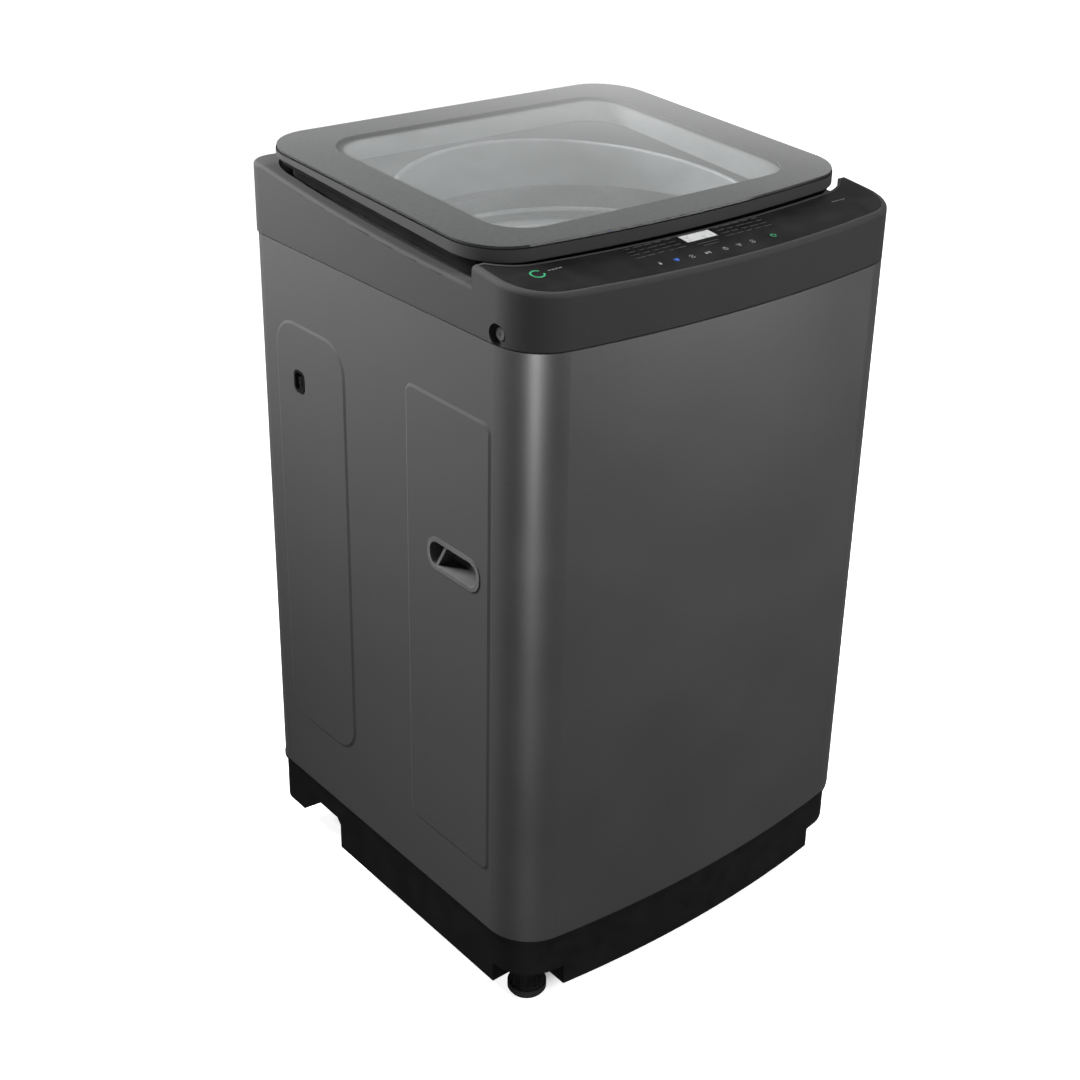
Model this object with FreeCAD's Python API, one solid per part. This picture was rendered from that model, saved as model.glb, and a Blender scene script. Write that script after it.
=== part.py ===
import FreeCAD, Part
import math
import os

# Top load washing machine, built as separate pieces in millimetres, +Z up.
# Origin: the floor under the middle of the machine's box. +X is to the right seen from the front, +Y is to
# the back. The washing axis stands at (0, TUB_Y). Every piece is written to parts/NAME.step.

V = FreeCAD.Vector
UP = V(0, 0, 1)

# Cabinet and top cover
WIDTH = 540.0                # over the side walls
DEPTH = 534.0                # from the bow's foremost point to the back
BOW = 24.0                   # how far the front bows out past the ends of the side walls
FRONT_CORNER = 58.0
BACK_CORNER = 30.0
FOOT_GAP = 36.0              # floor to the base frame's lower edge
CABINET_Z = (113.0, 825.0)
SHEET = 1.2                  # steel sheet
SHEET_BACK = DEPTH / 2 - 3.5  # outer face of the cabinet's back flanges
WALL = 3.0                   # moulded plastic
BASE_INSET = 4.0

# Top cover's long profile: (y, height) at the step, halfway and at the back
RIM_FRONT = (-150.0, 875.0)
RIM_MIDDLE = (40.0, 885.5)
RIM_BACK = (229.0, 907.0)
PANEL_BACK = (-158.0, 896.5)  # top of the step up to the control panel
PANEL_SLOPE = 0.13
RIM_SIDE = 15.0              # width of the rim beside the sunk deck
RIM_REAR = 8.0               # and behind it
DISH_CORNER = 60.0           # rear corners of the sunk deck
DISH_DEPTH = 12.0
DISH_ROUND = 10.0            # hollow between the side rim and the sunk deck
OPENING_R = 214.0
OPENING_FRONT_Y = -140.0

# Lid
LID_HALF = 264.75
LID_FRONT_Y = -186.4         # middle of the bowed front edge
LID_BOW = 19.8
LID_BACK_Y = 249.4
LID_CORNER = 62.0
LID_TOP = 919.6              # height of the lid's top at y = 0
LID_SLOPE = 0.054
LID_UNDER = 906.1            # height of the frame's lower edge at y = 0
LID_UNDER_SLOPE = 0.0736
GLASS = 4.0
GROOVE = 7.6                 # between the lid's edge and the control panel
WINDOW = dict(half=210.0, front=-141.0, bow=3.0, back=204.0, corner=50.0)
HINGE_Y = 240.0
HINGE_Z = 918.0
HINGE_X = 205.0
PIN_R = 2.5
PIN_FIT = 0.02               # radial clearance of the pins in the lid's ears

# Washing unit
TUB_Y = -8.0
TUB_R = 236.0
TUB_Z = (290.0, 775.0)
BASKET_R = 214.0
BASKET_Z = (330.0, 748.0)
SHAFT_R = 8.0
SPIN_R = 14.0
FIT = 0.05                   # radial clearance of a running fit
PULLEY_R = 80.0
MOTOR_PULLEY_R = 24.0
MOTOR_XY = (122.0, 100.0)    # motor axis, measured from the washing axis
BELT_Z = 172.0
ROD_X = 222.0
ROD_Y = 204.0                # rod centres, before and behind the washing axis
ROD_R = 4.0
SPRING_Z = (256.0, 312.0)

PARTS = {}


def part(name, shape):
    """Keeps one piece under its node name."""
    PARTS[name] = shape
    return shape


def box(x0, x1, y0, y1, z0, z1):
    return Part.makeBox(x1 - x0, y1 - y0, z1 - z0, V(x0, y0, z0))


def cyl(r, z0, z1, x=0.0, y=0.0):
    return Part.makeCylinder(r, z1 - z0, V(x, y, z0))


def ring(outer, inner, z0, z1, x=0.0, y=0.0):
    return cyl(outer, z0, z1, x, y).cut(cyl(inner, z0 - 1, z1 + 1, x, y))


def bar(r, start, end):
    """Round bar between two points."""
    run = V(*end) - V(*start)
    return Part.makeCylinder(r, run.Length, V(*start), run)


def turned(points, x=0.0, y=0.0):
    """Solid turned about a vertical axis from (radius, height) points."""
    outline = [V(x + r, y, z) for r, z in points]
    face = Part.Face(Part.makePolygon(outline + outline[:1]))
    return face.revolve(V(x, y, 0), UP, 360)


def fuse(pieces):
    joined = pieces[0]
    for piece in pieces[1:]:
        joined = joined.fuse(piece)
    return joined.removeSplitter()


def group(pieces):
    """Separate solids kept in one node."""
    return Part.makeCompound(pieces)


def around(shape, count, x=0.0, y=TUB_Y):
    """Copies of a shape at equal angles about a vertical axis."""
    copies = []
    for step in range(count):
        copy = shape.copy()
        copy.rotate(V(x, y, 0), UP, 360.0 * step / count)
        copies.append(copy)
    return copies


def mirrored(shape):
    return shape.mirror(V(0, 0, 0), V(1, 0, 0))


def plan(half, front, bow, back, front_corner, back_corner, inset=0.0):
    """Plan of a flat-sided shape with a bowed front and round corners, moved inwards by inset."""
    bow_radius = (half ** 2 + bow ** 2) / (2 * bow)
    bow_centre = front + bow_radius
    bow_radius -= inset
    half -= inset
    back -= inset
    rf = max(front_corner - inset, 3.0)
    rb = max(back_corner - inset, 3.0)
    fx = half - rf
    fy = bow_centre - math.sqrt((bow_radius - rf) ** 2 - fx ** 2)
    reach = bow_radius / (bow_radius - rf)
    tx = fx * reach
    ty = bow_centre + (fy - bow_centre) * reach
    middle = math.atan2(ty - fy, tx - fx) / 2
    mx = fx + rf * math.cos(middle)
    my = fy + rf * math.sin(middle)
    bx = half - rb
    by = back - rb
    near = rb * math.sqrt(0.5)
    edges = [
        Part.Arc(V(-tx, ty, 0), V(0, bow_centre - bow_radius, 0), V(tx, ty, 0)).toShape(),
        Part.Arc(V(tx, ty, 0), V(mx, my, 0), V(half, fy, 0)).toShape(),
        Part.makeLine(V(half, fy, 0), V(half, by, 0)),
        Part.Arc(V(half, by, 0), V(bx + near, by + near, 0), V(bx, back, 0)).toShape(),
        Part.makeLine(V(bx, back, 0), V(-bx, back, 0)),
        Part.Arc(V(-bx, back, 0), V(-bx - near, by + near, 0), V(-half, by, 0)).toShape(),
        Part.makeLine(V(-half, by, 0), V(-half, fy, 0)),
        Part.Arc(V(-half, fy, 0), V(-mx, my, 0), V(-tx, ty, 0)).toShape(),
    ]
    return Part.Face(Part.Wire(edges))


def prism(face, z0, z1):
    lifted = face.copy()
    lifted.translate(V(0, 0, z0))
    return lifted.extrude(V(0, 0, z1 - z0))


def body_plan(inset=0.0):
    return plan(WIDTH / 2, -DEPTH / 2, BOW, DEPTH / 2, FRONT_CORNER, BACK_CORNER, inset)


def cabinet_plan(inset=0.0):
    return plan(WIDTH / 2, -DEPTH / 2, BOW, SHEET_BACK, FRONT_CORNER, BACK_CORNER, inset)


def lid_plan(inset=0.0):
    return plan(LID_HALF, LID_FRONT_Y, LID_BOW, LID_BACK_Y, LID_CORNER, LID_CORNER, inset)


def window_plan(inset=0.0):
    w = WINDOW
    return plan(w["half"], w["front"], w["bow"], w["back"], w["corner"], w["corner"], inset)


def shell(plan_of, inset, wall, z0, z1):
    """Upright wall that follows a plan."""
    return prism(plan_of(inset), z0, z1).cut(prism(plan_of(inset + wall), z0 - 1, z1 + 1))


def side_cut(points, half=300.0):
    """Solid across the whole width from (y, z) points."""
    outline = [V(-half, y, z) for y, z in points]
    face = Part.Face(Part.makePolygon(outline + outline[:1]))
    return face.extrude(V(2 * half, 0, 0))


def slab(z_low, slope_low, z_high, slope_high):
    """Space between two planes that rise to the back, given by their height at y = 0."""
    y0, y1 = -300.0, 300.0
    return side_cut([
        (y0, z_low + slope_low * y0),
        (y1, z_low + slope_low * y1),
        (y1, z_high + slope_high * y1),
        (y0, z_high + slope_high * y0),
    ])


def below_rim(drop, half=300.0):
    """Everything lower than the cover's curved side rim, lowered by drop."""
    front = RIM_FRONT[1] - drop
    y0, y1, low = -300.0, 300.0, 700.0
    arc = Part.Arc(
        V(-half, RIM_FRONT[0], front),
        V(-half, RIM_MIDDLE[0], RIM_MIDDLE[1] - drop),
        V(-half, RIM_BACK[0], RIM_BACK[1] - drop),
    ).toShape()
    back = RIM_BACK[1] - drop
    lines = Part.makePolygon([
        V(-half, RIM_BACK[0], back),
        V(-half, y1, back),
        V(-half, y1, low),
        V(-half, y0, low),
        V(-half, y0, front),
        V(-half, RIM_FRONT[0], front),
    ])
    return Part.Face(Part.Wire([arc] + lines.Edges)).extrude(V(2 * half, 0, 0))


def panel_height(y):
    return PANEL_BACK[1] + PANEL_SLOPE * (y - PANEL_BACK[0])


def below_panel(drop, back=PANEL_BACK[0]):
    """Everything in front of the step and lower than the control panel's slope, lowered by drop."""
    y0, low = -300.0, 700.0
    return side_cut([
        (back, low),
        (back, panel_height(back) - drop),
        (y0, panel_height(y0) - drop),
        (y0, low),
    ])


# --- cabinet -----------------------------------------------------------------------------------

SIDE_X = WIDTH / 2
EMBOSS_HEIGHT = 1.4          # stamped panels stand proud of the side
EMBOSSES = [(70.0, 215.0, 200.0, 740.0, 40.0), (-192.0, -42.0, 188.0, 741.0, 14.0)]
HANDLE = (-174.0, -83.0, 538.0, 577.0)
BEZEL = 1.0                  # how far the handle's rim stands proud
RIB_LEAN = 30.0              # the rib in the handle leans to the front
RIB_BACK = 23.0              # and stands this far from the handle's rear end
CLIP_SLOT = (154.0, 176.0, 654.0, 682.0)


def round_pad(y0, y1, z0, z1, r, x0, x1):
    """Rounded rectangle standing in the YZ plane, from x0 to x1."""
    pad = box(x0, x1, y0, y1, z0, z1)
    along = [e for e in pad.Edges if e.BoundBox.XLength > 0.5 * (x1 - x0)]
    return pad.makeFillet(r, along)


def emboss(y0, y1, z0, z1, r, x0, x1, slope=5.0):
    """Shallow stamped panel that gets narrower by `slope` all round from x0 to x1."""
    faces = []
    for x, grow in ((x0, 0.0), (x1, -slope)):
        pad = round_pad(y0 - grow, y1 + grow, z0 - grow, z1 + grow, r + grow, x, x + 1)
        faces.append(min(pad.Faces, key=lambda f: f.CenterOfMass.x).OuterWire)
    return Part.makeLoft(faces, True)


def cabinet():
    z0, z1 = CABINET_Z
    wall = shell(cabinet_plan, 0.0, SHEET, z0, z1)
    for y0, y1, e0, e1, r in EMBOSSES:
        pad = emboss(y0, y1, e0, e1, r, SIDE_X - SHEET / 2, SIDE_X + EMBOSS_HEIGHT)
        pocket = emboss(y0 + SHEET, y1 - SHEET, e0 + SHEET, e1 - SHEET, r - SHEET,
                        SIDE_X - SHEET - 0.5, SIDE_X + EMBOSS_HEIGHT - SHEET)
        for add, cut in ((pad, pocket), (mirrored(pad), mirrored(pocket))):
            wall = wall.fuse(add).cut(cut)
    y0, y1, h0, h1 = HANDLE
    hole = round_pad(y0 + 2, y1 - 2, h0 + 2, h1 - 2, 15.0, SIDE_X - 20, SIDE_X + 5)
    wall = wall.cut(hole).cut(mirrored(hole))
    y0, y1, h0, h1 = CLIP_SLOT
    wall = wall.cut(mirrored(round_pad(y0, y1, h0, h1, 8.0, SIDE_X - 20, SIDE_X + 5)))
    back = box(-222, 222, SHEET_BACK - 12, SHEET_BACK + 1, z0 + 20, z1 - 20)
    turned_in = shell(cabinet_plan, SHEET, 14.0, z1 - SHEET, z1)
    whole = fuse([wall.cut(back), turned_in])
    for x, z in REAR_SCREWS:
        whole = whole.cut(bar(2.0, (x, SHEET_BACK - 9, z), (x, SHEET_BACK + 1, z)))
    return part("cabinet", whole)


DRAIN = (-150.0, 172.0)      # x and height of the drain outlet on the back
DRAIN_R = 12.0
GLAND = (185.0, 762.0)       # x and height of the power lead's gland
REAR_SCREWS = [(x, z) for x in (-231.0, 231.0) for z in (150.0, 360.0, 570.0, 790.0)]
PANEL_Y = SHEET_BACK + SHEET  # outer face of the rear panel


def rear_panel():
    z0, z1 = CABINET_Z
    y = PANEL_Y
    sheet = box(-240, 240, y - SHEET, y, z0 + 8, z1 - 8)
    for x in (-150.0, 0.0, 150.0):
        rib = box(x - 32, x + 32, y - SHEET, y + 1.6, z0 + 130, z1 - 110)
        rib = rib.makeFillet(20, [e for e in rib.Edges if e.BoundBox.YLength > 1.5])
        groove = box(x - 30.8, x + 30.8, y - 9, y + 0.4, z0 + 131.2, z1 - 111.2)
        groove = groove.makeFillet(18.8, [e for e in groove.Edges if e.BoundBox.YLength > 1.5])
        sheet = sheet.fuse(rib).cut(groove)
    pocket = box(DRAIN[0] - 34, DRAIN[0] + 34, y - 34, y + 2, DRAIN[1] - 30, DRAIN[1] + 30)
    cup = box(DRAIN[0] - 36, DRAIN[0] + 36, y - 36, y - SHEET, DRAIN[1] - 32, DRAIN[1] + 32)
    sheet = sheet.fuse(cup).cut(pocket)
    for row in range(5):
        z = 190.0 + 14 * row
        sheet = sheet.cut(box(60, 200, y - 3, y + 3, z, z + 5))
    holes = [bar(8.0, (GLAND[0], y - 9, GLAND[1]), (GLAND[0], y + 9, GLAND[1]))]
    holes.append(bar(13.0, (DRAIN[0], y - 50, DRAIN[1]), (DRAIN[0], y + 9, DRAIN[1])))
    holes += [bar(2.0, (x, y - 9, z), (x, y + 9, z)) for x, z in REAR_SCREWS]
    for hole in holes:
        sheet = sheet.cut(hole)
    return part("rear_panel", sheet.removeSplitter())


def screw(x, y, z, axis, head_r=4.5, length=10.0):
    """Pan-head screw with a cross slot; axis is +1 or -1 along Y or X as ('y', 1)."""
    letter, sign = axis
    body = fuse([cyl(head_r, 0, 2.2), cyl(1.9, -length, 0)])
    slot = fuse([box(-2.6, 2.6, -0.5, 0.5, 1.2, 3), box(-0.5, 0.5, -2.6, 2.6, 1.2, 3)])
    body = body.cut(slot)
    turn_axis, angle = (V(1, 0, 0), -90 * sign) if letter == "y" else (V(0, 1, 0), 90 * sign)
    body.rotate(V(0, 0, 0), turn_axis, angle)
    body.translate(V(x, y, z))
    return body


def rear_screws():
    return part("rear_panel_screws", group([screw(x, PANEL_Y, z, ("y", 1), 4.2, 7.0) for x, z in REAR_SCREWS]))


def cord_gland():
    y = PANEL_Y
    x, z = GLAND
    sleeve = bar(7.6, (x, y - 12, z), (x, y + 0.8, z))
    inner = bar(9.6, (x, y - 12, z), (x, y - SHEET - 0.2, z))
    bore = bar(3.8, (x, y - 20, z), (x, y + 5, z))
    return part("cord_gland", fuse([sleeve, inner]).cut(bore))


def drain_outlet():
    """Stub at the foot of the back where the drain hose is pushed on."""
    y = PANEL_Y
    x, z = DRAIN
    pieces = [
        bar(12.6, (x, y - 60, z), (x, y - 36.2, z)),
        bar(20.0, (x, y - 34, z), (x, y - 31.5, z)),
        bar(DRAIN_R, (x, y - 60, z), (x, y - 2, z)),
    ]
    return part("drain_outlet", fuse(pieces).cut(bar(9.5, (x, y - 70, z), (x, y + 5, z))))


def handle_cup():
    """Finger recess let into the side wall, with a slanted rib behind its lower lip."""
    y0, y1, z0, z1 = HANDLE
    face = SIDE_X + EMBOSS_HEIGHT
    bezel = round_pad(y0, y1, z0, z1, 17.0, face, face + BEZEL)
    cup = round_pad(y0 + 2.6, y1 - 2.6, z0 + 2.6, z1 - 2.6, 14.4, face - 24, face + 0.5)
    hollow = round_pad(y0 + 5, y1 - 5, z0 + 5, z1 - 5, 12.0, face - 22, face + 5)
    rib = box(face - 21, face - 1.5, -1.8, 1.8, -24, 24)
    rib.rotate(V(0, 0, 0), V(1, 0, 0), RIB_LEAN)
    rib.translate(V(0, y1 - RIB_BACK, (z0 + z1) / 2))
    inside = round_pad(y0 + 4.6, y1 - 4.6, z0 + 4.6, z1 - 4.6, 12.4, face - 23, face - 1)
    return fuse([bezel.fuse(cup).cut(hollow), rib.common(inside)])


def handle_cups():
    right = handle_cup()
    part("handle_cup_right", right)
    part("handle_cup_left", mirrored(right))


def side_clip():
    """Plug with a hook for the drain hose, in the slot of the left side."""
    y0, y1, z0, z1 = CLIP_SLOT
    face = SIDE_X + EMBOSS_HEIGHT
    plug = round_pad(y0 + 0.3, y1 - 0.3, z0 + 0.3, z1 - 0.3, 7.7, face - 10, face + 0.6)
    plug = plug.cut(round_pad(y0 + 3, y1 - 3, z0 + 3, z1 - 3, 5.0, face - 8, face + 5))
    hook = fuse([
        box(face - 9, face - 2, y0 + 8, y1 - 8, z0 + 2, z0 + 16),
        box(face - 4, face - 1, y0 + 8, y1 - 8, z0 + 10, z0 + 19),
    ])
    return part("side_clip", mirrored(fuse([plug, hook])))


# --- base frame and feet -------------------------------------------------------------------------

FOOT_XY = (215.0, -195.0)
REAR_FOOT_XY = (188.0, 182.0)
STUD_R = 5.0
PLATFORM_Z = (73.0, 77.0)
FOOT_NOTCH = (205.0, -195.0, 62.0)  # the skirt is open in front of the foot: x and y of its ends, height
FOOT_WELL_R = 26.5


def foot_well():
    """Ring round the right front foot, with walls in from both ends of the notch in the skirt."""
    x, y, _ = FOOT_NOTCH
    z0, z1 = FOOT_GAP, PLATFORM_Z[0] + 1
    walls = fuse([
        box(x, 300, y, y + 3.5, z0, z1),
        box(x - 3.5, x, -300, y, z0, z1),
        cyl(FOOT_WELL_R + 3.5, z0 + 4, z1, *FOOT_XY),
    ])
    return walls.common(prism(body_plan(BASE_INSET), z0, z1)).cut(cyl(FOOT_WELL_R, z0 - 1, z1 + 1, *FOOT_XY))


def base_frame():
    z0, z1 = FOOT_GAP, CABINET_Z[0]
    skirt = shell(body_plan, BASE_INSET, 3.5, z0, z1)
    ledge = shell(body_plan, 0.8, 9.0, z1 - 4, z1)
    tongue = shell(cabinet_plan, SHEET + 1, 3.0, z1 - 1, z1 + 9)
    flange = shell(body_plan, BASE_INSET + 3, 26.0, *PLATFORM_Z)
    inside = prism(body_plan(BASE_INSET + 3), *PLATFORM_Z)
    corner = box(130, 300, -300, -120, 0, 200).fuse(box(130, 300, 120, 300, 0, 200))
    platform = inside.common(corner.fuse(mirrored(corner)))
    frame = fuse([skirt, ledge, tongue, flange, platform])
    for side in (-1, 1):
        fx, fy = side * FOOT_XY[0], FOOT_XY[1]
        rx, ry = side * REAR_FOOT_XY[0], REAR_FOOT_XY[1]
        frame = frame.fuse(cyl(14.0, 48, PLATFORM_Z[1] + 22, fx, fy))
        frame = frame.fuse(cyl(17.0, 16, PLATFORM_Z[1] + 1, rx, ry))
        frame = frame.cut(cyl(STUD_R + FIT, 0, 120, fx, fy))
        notch = box(FOOT_NOTCH[0], 300, -300, FOOT_NOTCH[1], 0, FOOT_NOTCH[2])
        frame = frame.cut(notch if side > 0 else mirrored(notch))
        frame = frame.fuse(foot_well() if side > 0 else mirrored(foot_well()))
    tail = side_cut([(121, 0), (121, 70), (128, 78), (167, 78), (207, 46), (300, 46), (300, 0)])
    keep = fuse([cyl(17.0, 16, 90, side * REAR_FOOT_XY[0], REAR_FOOT_XY[1]) for side in (-1, 1)])
    return part("base_frame", frame.cut(tail.cut(keep)).removeSplitter())


def feet():
    """Front feet turn on studs to level the machine; rear feet are plugs."""
    for name, side in (("left", -1), ("right", 1)):
        x, y = side * FOOT_XY[0], FOOT_XY[1]
        grip = [cyl(2.4, 14, 32, x + 18.4 * math.cos(a), y + 18.4 * math.sin(a))
                for a in (math.radians(30 * k) for k in range(12))]
        stem = turned([(0, 8), (21, 8), (21, 12), (19, 14), (19, 32), (17, 36), (11, 38), (11, 44),
                       (STUD_R, 44), (STUD_R, 104), (0, 104)], x, y)
        part("level_foot_" + name, fuse([stem] + grip))
        pad = turned([(0, 0), (21, 0), (23, 3), (23, 11), (21.2, 11), (21.2, 8), (0, 8)], x, y)
        part("foot_pad_" + name, pad)
    rear = [(0, 0), (16, 0), (18, 3), (18, 20), (17.2, 20), (17.2, 16), (0, 16)]
    plugs = [turned(rear, side * REAR_FOOT_XY[0], REAR_FOOT_XY[1]) for side in (-1, 1)]
    part("rear_feet", group(plugs))


# --- top cover -----------------------------------------------------------------------------------

COVER_Z = CABINET_Z[1]
COVER_TOP = 925.0
RIM_ROUND = 4.0              # outer edge of the side rim
SEAM = (2.0, 1.5)            # depth and height of the groove along the joint with the cabinet
SCREW_YZ = (-197.0, 837.0)
INLET = (150.0, 858.0)       # x and height of the water inlet on the back
INLET_R = 13.2
DRAWER_TURN = 45.0           # the drawer sits in the rear left corner, at this angle to +Y
DRAWER_HALF = 36.0
DRAWER_Y = (222.0, 312.0)    # from the washing axis, before turning
DRAWER_Z = (840.0, 864.0)


def in_corner(shape):
    """Moves a shape built behind the washing axis into the drawer's corner."""
    moved = shape.copy()
    moved.translate(V(0, TUB_Y, 0))
    moved.rotate(V(0, TUB_Y, 0), UP, DRAWER_TURN)
    return moved


def opening(radius, front, corner, z0, z1):
    """Loading opening: round at the back and sides, straight in front."""
    disc = cyl(radius, z0, z1, 0, TUB_Y).common(box(-300, 300, front, 300, z0, z1))
    edges = [e for e in disc.Edges if e.BoundBox.ZLength > 0.9 * (z1 - z0) and e.BoundBox.YMax < front + 1]
    return disc.makeFillet(corner, edges)


def dish_plan(inset=0.0):
    return plan(WIDTH / 2 - RIM_SIDE, -DEPTH / 2, BOW, DEPTH / 2 - RIM_REAR, FRONT_CORNER, DISH_CORNER, inset)


def dish():
    """Space over the sunk deck that the lid closes."""
    reach = box(-300, 300, RIM_FRONT[0] - 2, 300, 0, 1000).fuse(prism(lid_plan(-GROOVE), 800, COVER_TOP))
    space = prism(dish_plan(), 800, COVER_TOP).common(reach.removeSplitter())
    space = space.removeSplitter().cut(below_rim(DISH_DEPTH))
    foot = [e for e in space.Edges if e.BoundBox.YMin > RIM_FRONT[0] - 0.5
            and e.BoundBox.ZMax < COVER_TOP - 5 and not across(e)]
    return space.makeFillet(DISH_ROUND, foot)


def across(edge):
    """True for a crease that runs straight across the deck."""
    return edge.BoundBox.XLength > 400 and edge.BoundBox.YMax < 235 and edge.BoundBox.YLength < 0.1


def top_cover():
    outer = prism(body_plan(), COVER_Z, COVER_TOP).common(fuse([below_rim(0), below_panel(0)]))
    outer = outer.removeSplitter()
    crease = [e for e in outer.Edges if across(e) and abs(e.BoundBox.YMin - RIM_BACK[0]) < 1]
    outer = outer.makeFillet(50.0, crease)
    nose = [e for e in outer.Edges if e.BoundBox.YMax < PANEL_BACK[0] + 1 and e.BoundBox.ZMin > 878
            and e.BoundBox.YLength > 1]
    outer = outer.makeFillet(5.0, nose)
    rim = [e for e in outer.Edges if e.BoundBox.YMin > RIM_FRONT[0] - 2 and e.BoundBox.ZMin > 872
           and (e.BoundBox.YLength > 5 or e.BoundBox.YMin > 260) and e.BoundBox.ZLength < 60]
    outer = outer.makeFillet(RIM_ROUND, rim)
    under_deck = prism(body_plan(WALL), 800, COVER_TOP).common(below_rim(DISH_DEPTH + WALL))
    under_rim = prism(body_plan(WALL), 800, COVER_TOP).cut(prism(dish_plan(-WALL), 700, COVER_TOP + 5))
    under_rim = under_rim.common(below_rim(RIM_ROUND))
    behind_step = below_panel(2 * WALL + 1, PANEL_BACK[0] - WALL)
    under_panel = prism(body_plan(WALL), 800, COVER_TOP).common(behind_step)
    under_panel = under_panel.cut(prism(lid_plan(-GROOVE - WALL), 700, COVER_TOP + 5))
    seat = panel_plate(6.6, 3.0, WALL + 0.2)
    seam = shell(body_plan, -1.0, SEAM[0] + 1.0, COVER_Z, COVER_Z + SEAM[1])
    cover = outer.cut(dish()).cut(under_deck).cut(under_rim).cut(under_panel).cut(seat).cut(seam)
    collar = opening(OPENING_R + WALL, OPENING_FRONT_Y - WALL, 33.0, 834, COVER_TOP)
    cover = cover.fuse(collar.common(below_rim(DISH_DEPTH)))
    cover = cover.cut(opening(OPENING_R, OPENING_FRONT_Y, 30.0, 800, COVER_TOP))
    for side in (-1, 1):
        y, z = SCREW_YZ
        boss = bar(14.0, (side * (SIDE_X - 12), y, z), (side * (SIDE_X - 2), y, z))
        recess = bar(11.5, (side * (SIDE_X - 7), y, z), (side * (SIDE_X + 1), y, z))
        hole = bar(2.0, (side * (SIDE_X - 20), y, z), (side * SIDE_X, y, z))
        cover = cover.fuse(boss.common(prism(body_plan(), COVER_Z, COVER_TOP))).cut(recess).cut(hole)
    x, z = INLET
    pocket_wall = box(x - 30, x + 30, DEPTH / 2 - 30, DEPTH / 2 - 1, z - 24, z + 24)
    pocket = box(x - 27, x + 27, DEPTH / 2 - 27, DEPTH / 2 + 1, z - 21, z + 21)
    valve_hole = bar(17.2, (x, DEPTH / 2 - 40, z), (x, DEPTH / 2 - 20, z))
    cover = cover.fuse(pocket_wall).cut(pocket).cut(valve_hole)
    y0, y1 = DRAWER_Y
    mouth = in_corner(box(-DRAWER_HALF - 1.5, DRAWER_HALF + 1.5, 150, y0 + 20,
                          DRAWER_Z[0] - 1.5, DRAWER_Z[1] + 1.5))
    return part("top_cover", cover.cut(mouth).removeSplitter())


def panel_plate(inset, margin, depth):
    """Plate on the control panel's slope, `margin` from the groove and the step."""
    plate = prism(body_plan(inset), 800, COVER_TOP).common(below_panel(0, PANEL_BACK[0] - margin))
    plate = plate.cut(below_panel(depth, 0.0))
    return plate.cut(prism(lid_plan(-GROOVE - margin), 700, COVER_TOP + 5))


DISPLAY = (-34.0, 9.0, -213.0, -197.5)


def control_panel():
    x0, x1, y0, y1 = DISPLAY
    hole = box(x0, x1, y0, y1, 800, 950)
    part("control_panel", panel_plate(7.0, 3.4, WALL).cut(hole))
    lens = box(x0 + 0.2, x1 - 0.2, y0 + 0.2, y1 - 0.2, 800, 950).common(below_panel(0.1, 0.0))
    return part("display_window", lens.cut(below_panel(WALL, 0.0)))


def control_unit():
    tray = box(-150, 150, -248, -208, 846, 872).cut(box(-147.5, 147.5, -245.5, -210.5, 848.5, 880))
    part("board_tray", tray)
    board = box(-145, 145, -244, -212, 852, 853.6)
    for x, width, height in ((-120, 24, 14), (-70, 16, 10), (-20, 12, 8), (40, 20, 16), (95, 26, 12)):
        board = board.fuse(box(x, x + width, -238, -220, 853.6, 853.6 + height))
    posts = [cyl(2.5, 848.5, 852, x, y) for x in (-138, 138) for y in (-240, -216)]
    return part("control_board", fuse([board] + posts))


def cover_screws():
    y, z = SCREW_YZ
    return part("cover_screws", group([screw(side * (SIDE_X - 7), y, z, ("x", side), 6.5, 9.0)
                                       for side in (-1, 1)]))


def inlet_valve():
    x, z = INLET
    back = DEPTH / 2
    body = fuse([
        bar(INLET_R, (x, back - 40, z), (x, back - 1, z)),
        bar(16.8, (x, back - 38, z), (x, back - 30.5, z)),
        box(x - 22, x + 22, back - 56, back - 38, z - 15, z + 15),
        bar(5.8, (x - 34, back - 46, z), (x - 20, back - 46, z)),
    ])
    part("inlet_valve", body.cut(bar(9.0, (x, back - 50, z), (x, back + 1, z))))
    coil = box(x - 13, x + 17, back - 78, back - 56, z - 13, z + 13)
    part("inlet_coil", coil.fuse(box(x + 17, x + 25, back - 74, back - 60, z - 8, z + 8)))
    tube = ring(8.2, 5.85, 0, 276)
    tube.rotate(V(0, 0, 0), V(0, 1, 0), -90)
    tube.translate(V(x - 24, back - 46, z))
    return part("fill_tube", tube)


def detergent_drawer():
    y0, y1 = DRAWER_Y
    z0, z1 = DRAWER_Z
    half = DRAWER_HALF
    case = box(-half - 3.5, half + 3.5, y0 + 6, y1 + 6, z0 - 3.5, z1 + 3.5)
    space = box(-half - 1, half + 1, y0 - 1, y1 + 3, z0 - 1, z1 + 1)
    drip = around_slots(half, y0 + 20, y1 - 10, z0 - 5, z0)
    part("detergent_housing", in_corner(case.cut(space).cut(drip)))
    tray = box(-half, half, y0, y1, z0, z1 - 1)
    hollow = box(-half + 2, -1, y0 + 9, y1 - 2, z0 + 2, z1 + 1)
    second = box(1, half - 2, y0 + 9, y1 - 2, z0 + 2, z1 + 1)
    pull = box(-16, 16, y0 + 1.8, y0 + 6.5, z0 - 1, z1 - 6)
    return part("detergent_drawer", in_corner(tray.cut(hollow).cut(second).cut(pull)))


def around_slots(half, y0, y1, z0, z1):
    """Row of slots through which the mixed detergent falls."""
    slots = [box(-half + 6, half - 6, y, y + 3, z0, z1) for y in range(int(y0), int(y1), 9)]
    return group(slots)


# --- lid -----------------------------------------------------------------------------------------

LINER_LOW = 881.5            # height of the inner frame's lower edge at y = 0
LINER_SLOPE = 0.075


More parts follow.
